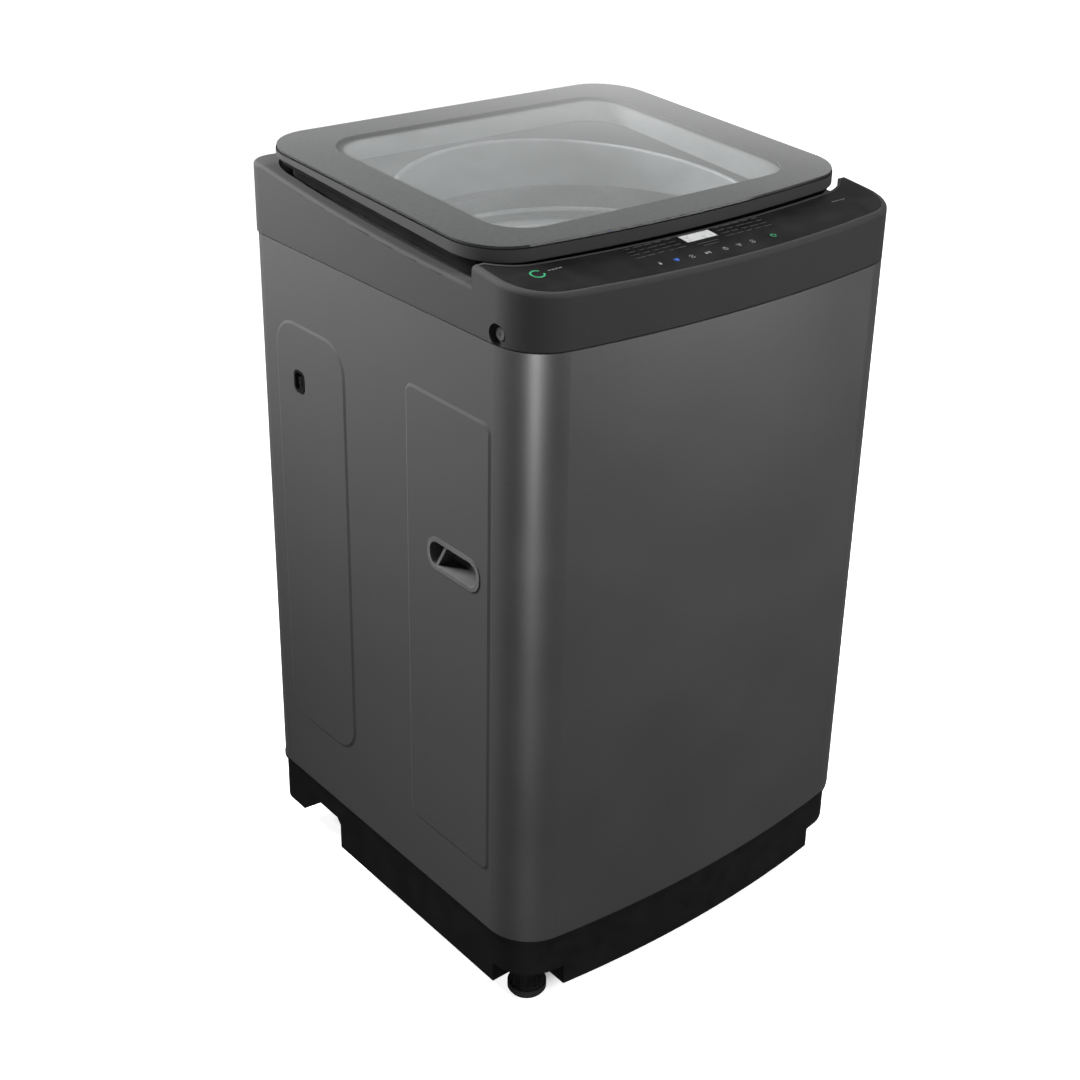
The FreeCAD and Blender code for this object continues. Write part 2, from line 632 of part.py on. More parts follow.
def lid():
    top = (LID_TOP, LID_SLOPE)
    glass = prism(lid_plan(0.8), 850, 960).common(slab(LID_TOP - GLASS, LID_SLOPE, *top))
    part("lid_glass", glass)
    under = (LID_UNDER, LID_UNDER_SLOPE)
    frame = prism(lid_plan(), 850, 960).common(slab(*under, LID_TOP - GLASS, LID_SLOPE))
    part("lid_frame", frame.cut(prism(window_plan(-6), 800, 960)))
    upper = prism(lid_plan(4), 850, 960).common(slab(LID_UNDER - 6, LID_UNDER_SLOPE, *under))
    lower = prism(lid_plan(18), 850, 960).common(
        slab(LINER_LOW, LINER_SLOPE, LID_UNDER - 6, LID_UNDER_SLOPE))
    liner = fuse([upper, lower]).cut(prism(window_plan(-6), 800, 960))
    hollow = prism(lid_plan(20.5), 850, 960).cut(prism(window_plan(-8.5), 800, 970))
    liner = liner.cut(hollow.common(slab(LINER_LOW + 2.5, LINER_SLOPE, 960, 0)))
    for side in (-1, 1):
        x = side * HINGE_X
        liner = liner.cut(box(x - 11.5, x + 11.5, 232, 260, 880, 930))
        ears = [box(x - 16, x - 11.5, 233, 245, 911, 935), box(x + 11.5, x + 16, 233, 245, 911, 935)]
        for ear in ears:
            liner = liner.fuse(ear.common(slab(0, 0, *under)))
        liner = liner.cut(bar(PIN_R + PIN_FIT, (x - 20, HINGE_Y, HINGE_Z), (x + 20, HINGE_Y, HINGE_Z)))
    part("lid_liner", liner.removeSplitter())
    part("lid_hinge_pins", group([bar(PIN_R, (side * HINGE_X - 16, HINGE_Y, HINGE_Z),
                                      (side * HINGE_X + 16, HINGE_Y, HINGE_Z)) for side in (-1, 1)]))
    deck = RIM_FRONT[1] - DISH_DEPTH
    bumpers = [cyl(6, deck + 0.3, 890, side * 165, -156) for side in (-1, 1)]
    lift = slab(800, 0, LINER_LOW, LINER_SLOPE)
    return part("lid_bumpers", group([bumper.common(lift) for bumper in bumpers]))


def hinge_brackets():
    deck = RIM_BACK[1] - DISH_DEPTH
    arms = []
    for side in (-1, 1):
        x = side * HINGE_X
        arm = fuse([
            box(x - 10.5, x + 10.5, 233, 243.5, deck, HINGE_Z),
            bar(5.0, (x - 10.5, HINGE_Y, HINGE_Z), (x + 10.5, HINGE_Y, HINGE_Z)),
        ])
        arm = arm.cut(box(x - 20, x + 20, 225, HINGE_Y - 5, HINGE_Z - 7, HINGE_Z + 9))
        bore = bar(PIN_R + FIT, (x - 20, HINGE_Y, HINGE_Z), (x + 20, HINGE_Y, HINGE_Z))
        arms.append(arm.cut(bore))
    return part("hinge_brackets", group(arms))


# --- suspension ----------------------------------------------------------------------------------

ROD_TOP = 800.0
CUP_Z = (264.0, 322.0)
LUG_Z = (322.0, 332.0)


def at_rods(make):
    """One copy of a piece at each of the four suspension rods."""
    return [make(sx * ROD_X, TUB_Y + sy * ROD_Y) for sx in (-1, 1) for sy in (-1, 1)]


def corner_bracket(x, y):
    """Steel shelf in a top corner of the cabinet that a rod hangs from."""
    sx, sy = math.copysign(1, x), math.copysign(1, y)
    low = (min(x - 24 * sx, 300 * sx), min(y - 24 * sy, 300 * sy))
    high = (max(x - 24 * sx, 300 * sx), max(y - 24 * sy, 300 * sy))
    reach = prism(cabinet_plan(SHEET + 0.2), ROD_TOP, CABINET_Z[1] - SHEET - 0.2)
    corner = reach.common(box(low[0], high[0], low[1], min(high[1], SHEET_BACK - 3), ROD_TOP, 900))
    rim = prism(cabinet_plan(SHEET + 2.4), ROD_TOP + 2.5, 900)
    return corner.cut(rim).cut(cyl(ROD_R + 0.4, 700, 900, x, y))


def rod(x, y):
    foot = turned([(0, 240), (7, 240), (7, 250), (18, 250), (18, SPRING_Z[0] - 3), (ROD_R, SPRING_Z[0] - 3),
                   (ROD_R, ROD_TOP + 2.5), (9, ROD_TOP + 2.6), (9, ROD_TOP + 8), (5, ROD_TOP + 12),
                   (0, ROD_TOP + 12)], x, y)
    return foot


def damper_cup(x, y):
    """Upside-down cup that rides on the spring and carries a lug of the tub."""
    z0, z1 = CUP_Z
    cup = turned([(21.5, z0), (24, z0), (22.5, z1), (ROD_R + 0.4, z1), (ROD_R + 0.4, z1 - 4), (20, z1 - 4)],
                 x, y)
    return cup


def spring(x, y):
    z0, z1 = SPRING_Z[0] - 3, CUP_Z[1] - 4
    wire = 1.6
    height = z1 - z0 - 2 * wire
    helix = Part.makeHelix(height / 7, height, 14.0)
    section = Part.Face(Part.Wire([Part.makeCircle(wire, V(14.0, 0, 0), V(0, 1, 0))]))
    coil = Part.Wire(helix).makePipe(section)
    coil.translate(V(x, y, z0 + wire))
    return coil


def suspension():
    part("corner_brackets", group(at_rods(corner_bracket)))
    part("suspension_rods", group(at_rods(rod)))
    part("damper_cups", group(at_rods(damper_cup)))
    return part("suspension_springs", group(at_rods(spring)))


# --- tub and drive -------------------------------------------------------------------------------

SEAL_R = 27.0
BEARING_R = 26.0
PLATE_Z = (276.0, 280.0)
CASE_Z = (196.0, 276.0)
DRAIN_VALVE = (-140.0, 30.0)


def outer_tub():
    z0, z1 = TUB_Z
    wall = turned([(SEAL_R, z0), (TUB_R - 14, z0), (TUB_R - 6, z0 + 9), (TUB_R, z1 - 8), (TUB_R + 4, z1 - 8),
                   (TUB_R + 4, z1), (TUB_R - 3, z1), (TUB_R - 9, z0 + 10), (TUB_R - 15, z0 + 4.5),
                   (SEAL_R, z0 + 4.5)], 0, TUB_Y)
    lugs = []
    for sx in (-1, 1):
        for sy in (-1, 1):
            angle = math.degrees(math.atan2(sy * ROD_Y, sx * ROD_X))
            reach = math.hypot(ROD_X, ROD_Y)
            arm = fuse([
                box(215, reach, -20, 20, *LUG_Z),
                cyl(20, *LUG_Z, reach, 0),
                box(215, reach - 22, -20, -16, LUG_Z[1], LUG_Z[1] + 26),
                box(215, reach - 22, 16, 20, LUG_Z[1], LUG_Z[1] + 26),
            ]).cut(cyl(ROD_R + 2, 300, 400, reach, 0))
            arm.rotate(V(0, 0, 0), UP, angle)
            arm.translate(V(0, TUB_Y, 0))
            lugs.append(arm.cut(cyl(TUB_R - 7.5, 300, 400, 0, TUB_Y)))
    bosses = [cyl(9, PLATE_Z[1], z0 + 1, x, TUB_Y + y) for x, y in ((-75, 75), (-75, -75), (75, -75))]
    tub = fuse([wall] + lugs + bosses)
    tub = tub.cut(cyl(16, z0 - 1, z0 + 6, *DRAIN_VALVE))
    return part("outer_tub", tub)


def tub_ring():
    z = TUB_Z[1]
    return part("tub_ring", turned([
        (TUB_R + 4.4, z - 12), (TUB_R + 7, z - 12), (TUB_R + 7, z + 15), (208, z + 33), (200, z + 33),
        (200, z + 30.5), (207, z + 30.5), (TUB_R + 4.4, z + 13)], 0, TUB_Y))


def gearcase():
    z0, z1 = CASE_Z
    case = fuse([cyl(62, z0, z1 - 4, 0, TUB_Y), cyl(80, z1 - 6, z1, 0, TUB_Y)])
    for radius, low, high in ((BEARING_R + 0.1, z1 - 14, z1 + 1), (BEARING_R + 0.1, z0 - 1, z0 + 18),
                              (57.0, z0 + 22, z1 - 18), (SPIN_R + 2, z0 - 1, z1 + 1)):
        case = case.cut(cyl(radius, low, high, 0, TUB_Y))
    for bolt in around(cyl(3.2, z1 - 7, z1 + 1, 71, TUB_Y), 6):
        case = case.cut(bolt)
    part("gearcase", case)
    rings = [ring(BEARING_R, SPIN_R + FIT, z0 + 3, z0 + 18, 0, TUB_Y),
             ring(BEARING_R, SPIN_R + FIT, z1 - 14, z1, 0, TUB_Y)]
    part("spin_bearings", group(rings))
    seal = turned([(SPIN_R + FIT, z1 + 6), (SEAL_R - 0.1, z1 + 6), (SEAL_R - 0.1, TUB_Z[0] + 7),
                   (SPIN_R + 5, TUB_Z[0] + 7), (SPIN_R + FIT, TUB_Z[0] + 10)], 0, TUB_Y)
    return part("shaft_seal", seal)


def mounting_plate():
    plate = box(-100, 190, TUB_Y - 150, TUB_Y + 165, *PLATE_Z)
    corners = [e for e in plate.Edges if e.BoundBox.ZLength > 3]
    plate = plate.makeFillet(30, corners).cut(cyl(BEARING_R + 8, 200, 300, 0, TUB_Y))
    mx, my = MOTOR_XY
    plate = plate.cut(cyl(20, 200, 300, mx, TUB_Y + my))
    plate = plate.fuse(box(-96, -93, TUB_Y - 110, TUB_Y + 125, PLATE_Z[0] - 14, PLATE_Z[0] + 1))
    return part("mounting_plate", plate.removeSplitter())


def motor():
    x, y = MOTOR_XY[0], TUB_Y + MOTOR_XY[1]
    can = cyl(58, 192, 266, x, y).cut(cyl(52, 198, 260, x, y)).cut(cyl(6 + FIT, 190, 270, x, y))
    for step in range(8):
        a = math.radians(45 * step + 22.5)
        can = can.cut(cyl(6, 255, 270, x + 36 * math.cos(a), y + 36 * math.sin(a)))
    posts = [cyl(7, 265, PLATE_Z[0], x + 44 * math.cos(a), y + 44 * math.sin(a))
             for a in (math.radians(90 * k + 45) for k in range(4))]
    part("motor_housing", fuse([can] + posts))
    part("motor_stator", ring(51.8, 35.5, 206, 250, x, y))
    rotor = fuse([cyl(34.8, 208, 248, x, y), cyl(6, 156, 264, x, y)])
    part("motor_rotor", rotor)
    part("motor_pulley", grooved(MOTOR_PULLEY_R, x, y).cut(cyl(6.02, 100, 300, x, y)))


def grooved(radius, x, y):
    """Belt wheel with a flange on each side of its running face."""
    z = BELT_Z
    return turned([(0, z - 10), (radius + 3, z - 10), (radius + 3, z - 6), (radius, z - 5.4),
                   (radius, z + 5.4), (radius + 3, z + 6), (radius + 3, z + 10), (0, z + 10)], x, y)


def drive_pulley():
    wheel = grooved(PULLEY_R, 0, TUB_Y)
    for low, high in ((BELT_Z + 3, BELT_Z + 20), (BELT_Z - 20, BELT_Z - 3)):
        wheel = wheel.cut(ring(70, 24, low, high, 0, TUB_Y))
    for hole in around(cyl(13, 100, 300, 47, TUB_Y), 6):
        wheel = wheel.cut(hole)
    return part("drive_pulley", fuse([wheel, cyl(SHAFT_R - FIT, BELT_Z - 18, 190, 0, TUB_Y)]))


def belt_loop(extra, z0, z1):
    """Space inside a belt that runs `extra` outside both wheels."""
    big, small = PULLEY_R + extra, MOTOR_PULLEY_R + extra
    mx, my = MOTOR_XY
    gap = math.hypot(mx, my)
    heading = math.atan2(my, mx)
    lean = math.acos((big - small) / gap)
    corners = []
    for radius, cx, cy, sign in ((big, 0, 0, 1), (big, 0, 0, -1), (small, mx, my, -1), (small, mx, my, 1)):
        a = heading + sign * lean
        corners.append(V(cx + radius * math.cos(a), TUB_Y + cy + radius * math.sin(a), z0))
    bridge = Part.Face(Part.makePolygon(corners + corners[:1])).extrude(V(0, 0, z1 - z0))
    return fuse([cyl(big, z0, z1, 0, TUB_Y), cyl(small, z0, z1, mx, TUB_Y + my), bridge])


def drive_belt():
    z0, z1 = BELT_Z - 4.6, BELT_Z + 4.6
    return part("drive_belt", belt_loop(4.0, z0, z1).cut(belt_loop(0.3, z0 - 1, z1 + 1)))


def drain_valve():
    x, y = DRAIN_VALVE
    z = TUB_Z[0]
    body = fuse([
        cyl(15.8, z - 6, z + 4, x, y),
        cyl(26, z - 46, z - 1, x, y),
        bar(13, (x, y, z - 24), (x, y + 92, z - 24)),
        bar(16, (x, y + 78, z - 24), (x, y + 86, z - 24)),
        bar(8, (x, y, z - 24), (x, y - 52, z - 24)),
    ])
    bores = [cyl(12, z - 42, z + 5, x, y), bar(10, (x, y, z - 24), (x, y + 95, z - 24))]
    for bore in bores:
        body = body.cut(bore)
    part("drain_valve", body)
    puller = fuse([
        box(x - 22, x + 22, y - 118, y - 66, z - 50, z - 6),
        bar(3.5, (x, y - 68, z - 24), (x, y - 52.2, z - 24)),
        box(x - 26, x + 26, y - 112, y - 72, z - 8, z - 0.2),
    ])
    return part("valve_actuator", puller)


def capacitor():
    x, y = 55.0, TUB_Y - 122
    can = turned([(0, 204), (17, 204), (18, 205.5), (18, 268), (0, 268)], x, y)
    clip = ring(20, 18.1, 232, 246, x, y).fuse(box(x - 10, x + 10, y + 18.2, y + 20, 232, PLATE_Z[0]))
    terminals = [box(x - 1, x + 1, y + dy - 3, y + dy + 3, 196, 205) for dy in (-6, 6)]
    part("run_capacitor", group([fuse([can] + terminals), clip]))


# --- basket and pulsator -------------------------------------------------------------------------

def wash_basket():
    z0, z1 = BASKET_Z
    drum = turned([(BASKET_R - 12, z0 - 6), (BASKET_R, z0 + 6), (BASKET_R, z1), (BASKET_R - 1, z1),
                   (BASKET_R - 1, z0 + 6.4), (BASKET_R - 12.7, z0 - 5.3)], 0, TUB_Y)
    part("wash_basket", drum)
    rim = turned([(180, z1 + 6), (186, z1), (224, z1), (225, z1 + 3), (225, z1 + 36), (219, z1 + 42),
                  (192, z1 + 42), (182, z1 + 34)], 0, TUB_Y)
    part("balance_ring", rim)
    floor = turned([(16, z0 - 12), (190, z0 - 12), (BASKET_R - 13, z0 - 5), (BASKET_R - 1.4, z0 + 7),
                    (BASKET_R - 1.4, z0 + 24), (BASKET_R - 4, z0 + 24), (BASKET_R - 4, z0 + 8),
                    (BASKET_R - 16, z0 - 4), (188, z0 - 8), (16, z0 - 8)], 0, TUB_Y)
    for step in range(3):
        holes = around(cyl(4, z0 - 20, z0, 60 + 45 * step, TUB_Y), 8 + 6 * step)
        floor = floor.cut(Part.makeCompound(holes))
    part("basket_base", floor)
    arms = around(box(20, 196, TUB_Y - 17, TUB_Y + 17, z0 - 24, z0 - 18), 3)
    ribs = around(box(24, 180, TUB_Y - 3, TUB_Y + 3, z0 - 18, z0 - 12.2), 3)
    hub = fuse([cyl(34, z0 - 28, z0 - 12.2, 0, TUB_Y)] + arms + ribs)
    part("basket_hub", hub.cut(cyl(SPIN_R + 0.02, 200, 400, 0, TUB_Y)))
    return part("spin_tube", ring(SPIN_R, SHAFT_R, CASE_Z[0] + 2, z0 - 12.4, 0, TUB_Y))


FILTER_Z = (430.0, 600.0)
FILTER_HALF = 44.0
FILTER_R = (199.0, BASKET_R - 2.0)


def lint_filter(x_side):
    """Cassette on the basket's wall that tips inwards about its lower edge."""
    z0, z1 = FILTER_Z
    inner, outer = FILTER_R
    reach = box(100, 230, TUB_Y - FILTER_HALF, TUB_Y + FILTER_HALF, z0, z1)
    case = ring(outer, inner, z0, z1, 0, TUB_Y).common(reach)
    pocket = ring(outer - 3, inner + 3, z0 + 4, z1 - 4, 0, TUB_Y)
    case = case.cut(pocket.common(box(100, 230, TUB_Y - FILTER_HALF + 4, TUB_Y + FILTER_HALF - 4, z0, z1)))
    for row in range(6):
        z = z0 + 14 + 25 * row
        slot = box(150, inner + 4, TUB_Y - FILTER_HALF + 9, TUB_Y + FILTER_HALF - 9, z, z + 15)
        case = case.cut(slot)
    if x_side < 0:
        case.rotate(V(0, TUB_Y, 0), UP, 180)
    return case


def lint_filters():
    part("lint_filter_right", lint_filter(1))
    part("lint_filter_left", lint_filter(-1))


def pulsator():
    z = BASKET_Z[0]
    plate = turned([(SHAFT_R, z - 6), (18, z - 6), (18, z + 1), (160, z + 1), (168, z + 5), (170, z + 10),
                    (160, z + 8), (70, z + 12), (40, z + 24), (14, z + 27), (14, z + 20), (SHAFT_R, z + 20)],
                   0, TUB_Y)
    return fuse([plate] + around(ridge(46, 156, 13, 5, z + 4, z + 30), 6))


def ridge(r0, r1, half_low, half_top, z0, z1):
    """Ridge along +X that narrows upwards and slopes down to its outer end."""
    low = Part.makePolygon([V(r0, -half_low, z0), V(r1, -half_low, z0), V(r1, half_low, z0),
                            V(r0, half_low, z0), V(r0, -half_low, z0)])
    high = Part.makePolygon([V(r0 + 12, -half_top, z1), V(r1 - 34, -half_top, z1), V(r1 - 34, half_top, z1),
                             V(r0 + 12, half_top, z1), V(r0 + 12, -half_top, z1)])
    vane = Part.makeLoft([low, high], True)
    vane.translate(V(0, TUB_Y, 0))
    return vane


def pulsator_set():
    part("pulsator", pulsator())
    z = BASKET_Z[0]
    part("wash_shaft", cyl(SHAFT_R - FIT, 192, z + 19, 0, TUB_Y))
    cap = turned([(0, z + 19.2), (7, z + 19.2), (7, z + 20.2), (13.4, z + 20.2), (13.4, z + 25), (11, z + 27),
                  (0, z + 28)], 0, TUB_Y)
    part("pulsator_cap", cap)


def build():
    cabinet()
    rear_panel()
    rear_screws()
    cord_gland()
    drain_outlet()
    handle_cups()
    side_clip()
    base_frame()
    feet()
    top_cover()
    control_panel()
    control_unit()
    cover_screws()
    inlet_valve()
    detergent_drawer()
    lid()
    hinge_brackets()
    suspension()
    outer_tub()
    tub_ring()
    gearcase()
    mounting_plate()
    motor()
    drive_pulley()
    drive_belt()
    drain_valve()
    capacitor()
    wash_basket()
    lint_filters()
    pulsator_set()


build()
os.makedirs("parts", exist_ok=True)
for name, shape in PARTS.items():
    shape.exportStep("parts/" + name + ".step")
    print(name, len(shape.Solids), "solid(s)", "valid" if shape.isValid() else "NOT VALID")
print(len(PARTS), "pieces")
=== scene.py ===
import math

import bmesh
import bpy
from mathutils import Matrix, Vector


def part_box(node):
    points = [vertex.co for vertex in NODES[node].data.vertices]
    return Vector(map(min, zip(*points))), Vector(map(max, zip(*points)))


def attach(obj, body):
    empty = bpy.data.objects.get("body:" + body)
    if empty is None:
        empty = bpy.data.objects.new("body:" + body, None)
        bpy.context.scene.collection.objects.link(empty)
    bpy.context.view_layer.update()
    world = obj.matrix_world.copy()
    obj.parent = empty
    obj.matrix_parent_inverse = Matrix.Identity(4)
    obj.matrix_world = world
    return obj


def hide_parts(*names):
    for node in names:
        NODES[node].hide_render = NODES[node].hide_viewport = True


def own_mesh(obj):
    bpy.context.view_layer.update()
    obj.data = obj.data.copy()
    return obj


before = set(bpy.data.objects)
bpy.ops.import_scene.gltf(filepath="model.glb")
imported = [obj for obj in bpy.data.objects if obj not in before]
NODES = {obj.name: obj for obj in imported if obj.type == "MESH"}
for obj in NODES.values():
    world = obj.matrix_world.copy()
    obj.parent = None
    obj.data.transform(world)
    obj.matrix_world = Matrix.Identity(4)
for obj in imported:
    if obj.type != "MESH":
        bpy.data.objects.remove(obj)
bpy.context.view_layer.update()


# --- materials -----------------------------------------------------------------------------------

class Finish:
    """A Principled material whose colour, roughness and relief come from nodes in the object's own space."""

    def __init__(self, name, rough, metallic=0.0, specular=0.5, coat=0.0, coat_rough=0.1):
        self.material = bpy.data.materials.new(name)
        self.material.use_nodes = True
        self.tree = self.material.node_tree
        self.shader = self.tree.nodes["Principled BSDF"]
        self.shader.inputs["Roughness"].default_value = rough
        self.shader.inputs["Metallic"].default_value = metallic
        self.shader.inputs["Specular IOR Level"].default_value = specular
        self.shader.inputs["Coat Weight"].default_value = coat
        self.shader.inputs["Coat Roughness"].default_value = coat_rough
        self.place = self.tree.nodes.new("ShaderNodeTexCoord").outputs["Object"]

    def node(self, kind, **values):
        made = self.tree.nodes.new(kind)
        for key, value in values.items():
            setattr(made, key, value)
        return made

    def link(self, start, end):
        self.tree.links.new(start, end)

    def stretched(self, scale):
        """The object's own coordinates, scaled differently along each axis."""
        mapping = self.node("ShaderNodeMapping")
        mapping.inputs["Scale"].default_value = scale
        self.link(self.place, mapping.inputs["Vector"])
        return mapping.outputs["Vector"]

    def noise(self, scale, detail=2.0, place=None):
        made = self.node("ShaderNodeTexNoise")
        made.inputs["Scale"].default_value = scale
        made.inputs["Detail"].default_value = detail
        self.link(place or self.place, made.inputs["Vector"])
        return made.outputs["Fac"]

    def ramp(self, value, *stops):
        made = self.node("ShaderNodeValToRGB")
        ends = made.color_ramp.elements
        ends[0].position, ends[0].color = stops[0][0], (*stops[0][1], 1)
        ends[1].position, ends[1].color = stops[-1][0], (*stops[-1][1], 1)
        for position, colour in stops[1:-1]:
            ends.new(position).color = (*colour, 1)
        self.link(value, made.inputs["Fac"])
        return made.outputs["Color"]

    def between(self, value, low, high, start=0.35, end=0.65):
        made = self.node("ShaderNodeMapRange")
        for name, number in (("From Min", start), ("From Max", end), ("To Min", low), ("To Max", high)):
            made.inputs[name].default_value = number
        self.link(value, made.inputs["Value"])
        return made.outputs["Result"]

    def colours(self, value, dark, light, start=0.35, end=0.65):
        self.link(self.ramp(value, (start, dark), (end, light)), self.shader.inputs["Base Color"])
        return self

    def roughness(self, value, low, high, start=0.35, end=0.65):
        self.link(self.between(value, low, high, start, end), self.shader.inputs["Roughness"])
        return self

    def relief(self, height, distance, strength=1.0):
        """Adds a bump on top of those already made."""
        bump = self.node("ShaderNodeBump")
        bump.inputs["Strength"].default_value = strength
        bump.inputs["Distance"].default_value = distance
        self.link(height, bump.inputs["Height"])
        before = self.shader.inputs["Normal"]
        if before.is_linked:
            self.link(before.links[0].from_socket, bump.inputs["Normal"])
        self.link(bump.outputs["Normal"], before)
        return self

    def surface(self, mix):
        """Shows a mix shader in place of the Principled one."""
        self.link(mix.outputs["Shader"], self.tree.nodes["Material Output"].inputs["Surface"])
        self.tree.nodes.remove(self.shader)
        return self


def grey(value):
    return (value, value, value)


def painted_steel():
    """Dark grey paint with fine metal flakes over slightly wavy pressed sheet."""
    f = Finish("painted_steel", 0.42, metallic=0.5, coat=0.1, coat_rough=0.3)
    f.colours(f.noise(2600, 1), grey(0.058), grey(0.088), 0.3, 0.72)
    f.roughness(f.noise(9, 3), 0.39, 0.45)
    f.relief(f.noise(420, 2), 0.00006, 0.35)
    return f.relief(f.noise(5, 1), 0.0006, 0.12).material


def cover_plastic():
    """Painted moulded plastic of the top cover and the lid's frame."""
    f = Finish("cover_plastic", 0.72, specular=0.12)
    f.colours(f.noise(2200, 1), grey(0.022), grey(0.029), 0.3, 0.7)
    f.roughness(f.noise(14, 3), 0.68, 0.76)
    return f.relief(f.noise(700, 2), 0.00005, 0.35).material


def moulded(name, dark, light, rough=0.5, grain=900, depth=0.00012, specular=0.5):
    """Moulded plastic with a spark-eroded grain."""
    f = Finish(name, rough, specular=specular)
    f.colours(f.noise(30, 4), dark, light)
    f.roughness(f.noise(60, 3), rough - 0.06, rough + 0.06)
    return f.relief(f.noise(grain, 3), depth, 0.5).material


def gloss_panel():
    """Printed and hard-coated acrylic sheet."""
    f = Finish("gloss_panel", 0.15, specular=0.07, coat=0.03, coat_rough=0.06)
    f.colours(f.noise(40, 3), grey(0.006), grey(0.009))
    f.roughness(f.noise(25, 4), 0.12, 0.19)
    return f.relief(f.noise(60, 2), 0.00005, 0.15).material


def lid_pane(tint):
    """Clear sheet: what is behind it shows through its tint, and it mirrors more at a shallow angle."""
    f = Finish("lid_pane", 0.02)
    f.relief(f.noise(6, 1), 0.0008, 0.06)
    clear = f.node("ShaderNodeBsdfTransparent")
    clear.inputs["Color"].default_value = (*tint, 1)
    gloss = f.node("ShaderNodeBsdfGlossy")
    gloss.inputs["Color"].default_value = (1, 1, 1, 1)
    f.link(f.shader.inputs["Normal"].links[0].from_socket, gloss.inputs["Normal"])
    f.link(f.between(f.noise(90, 3), 0.02, 0.04), gloss.inputs["Roughness"])
    fresnel = f.node("ShaderNodeFresnel")
    fresnel.inputs["IOR"].default_value = 1.6
    sides = f.node("ShaderNodeNewGeometry")
    outside = f.node("ShaderNodeMapRange")
    outside.inputs["To Min"].default_value, outside.inputs["To Max"].default_value = 1.0, 0.0
    share = f.node("ShaderNodeMath", operation="MULTIPLY")
    mix = f.node("ShaderNodeMixShader")
    f.link(sides.outputs["Backfacing"], outside.inputs["Value"])
    f.link(outside.outputs["Result"], share.inputs[0])
    f.link(fresnel.outputs["Fac"], share.inputs[1])
    f.link(share.outputs["Value"], mix.inputs["Fac"])
    f.link(clear.outputs["BSDF"], mix.inputs[1])
    f.link(gloss.outputs["BSDF"], mix.inputs[2])
    return f.surface(mix).material


def film():
    """Milky film under the lid's window that veils the drum a little: partly a slight haze, partly painted
    reflection that lightens the window.
    """
    f = Finish("window_haze_painted_reflection", 0.6)
    clear = f.node("ShaderNodeBsdfTransparent")
    milk = f.node("ShaderNodeBsdfDiffuse")
    mix = f.node("ShaderNodeMixShader")
    # The milky diffuse share is partly haze and partly painted reflection.
    f.link(f.ramp(f.noise(20, 3), (0.35, grey(0.5)), (0.65, grey(0.56))), milk.inputs["Color"])
    f.link(f.between(f.noise(8, 2), 0.15, 0.17), mix.inputs["Fac"])
    f.link(clear.outputs["BSDF"], mix.inputs[1])
    f.link(milk.outputs["BSDF"], mix.inputs[2])
    return f.surface(mix).material


def enamel():
    """Grey ceramic band baked on the underside of the lid's glass."""
    f = Finish("glass_enamel", 0.5, specular=0.1)
    f.colours(f.noise(500, 2), grey(0.03), grey(0.042))
    f.roughness(f.noise(200, 2), 0.45, 0.55)
    return f.relief(f.noise(1500, 2), 0.00003, 0.3).material


def brushed(name, dark, light, rough, along=(4, 4, 500), metallic=1.0):
    """Rolled or brushed metal with fine streaks across the stretched axis."""
    f = Finish(name, rough, metallic=metallic)
    streak = f.noise(1.0, 4, f.stretched(along))
    f.colours(streak, dark, light)
    f.roughness(f.noise(30, 3), rough - 0.06, rough + 0.08)
    return f.relief(streak, 0.00005, 0.25).material


def zinc():
    """Zinc-plated steel with a mottled passivation."""
    f = Finish("zinc_plate", 0.36, metallic=0.95)
    f.colours(f.noise(170, 4), (0.45, 0.46, 0.455), (0.53, 0.53, 0.515))
    f.roughness(f.noise(110, 3), 0.35, 0.41)
    return f.relief(f.noise(500, 3), 0.00005, 0.3).material


def cast_aluminium():
    f = Finish("cast_aluminium", 0.5, metallic=0.9)
    f.colours(f.noise(220, 5), (0.42, 0.43, 0.44), (0.56, 0.56, 0.57))
    f.roughness(f.noise(120, 4), 0.42, 0.6)
    return f.relief(f.noise(380, 4), 0.0003, 0.5).material


def rubber(name, value):
    f = Finish(name, 0.72, specular=0.3)
    f.colours(f.noise(60, 4), grey(value * 0.8), grey(value * 1.25))
    f.roughness(f.noise(150, 3), 0.64, 0.8)
    return f.relief(f.noise(900, 3), 0.0001, 0.4).material


def board_green():
    f = Finish("circuit_board", 0.4)
    f.colours(f.noise(300, 2, f.stretched((1, 3, 1))), (0.01, 0.06, 0.03), (0.02, 0.11, 0.05))
    return f.relief(f.noise(400, 1), 0.0001, 0.4).material


def tinted(name, dark, light, rough=0.45, glow=0.0):
    """Printed ink or a lit key; glow is its own light."""
    f = Finish(name, rough)
    f.colours(f.noise(900, 2), dark, light)
    f.roughness(f.noise(300, 2), rough - 0.05, rough + 0.05)
    if glow:
        f.shader.inputs["Emission Color"].default_value = (*light, 1)
        f.shader.inputs["Emission Strength"].default_value = glow
    return f.material


def display_glass():
    """Lit diffuser behind the window."""
    f = Finish("display_glass", 0.3)
    f.colours(f.noise(70, 2), grey(0.36), grey(0.42))
    f.roughness(f.noise(200, 2), 0.25, 0.35)
    f.shader.inputs["Emission Color"].default_value = (0.9, 0.95, 1.0, 1)
    f.shader.inputs["Emission Strength"].default_value = 0.05
    return f.material


def net_weave():
    """Fine cloth of the lint filters."""
    f = Finish("lint_net", 0.75, specular=0.2)
    wave = f.node("ShaderNodeTexWave", bands_direction="Z")
    wave.inputs["Scale"].default_value = 260
    f.link(f.place, wave.inputs["Vector"])
    f.colours(wave.outputs["Fac"], (0.3, 0.36, 0.42), (0.62, 0.66, 0.7), 0.2, 0.8)
    return f.relief(wave.outputs["Fac"], 0.0003, 0.6).material


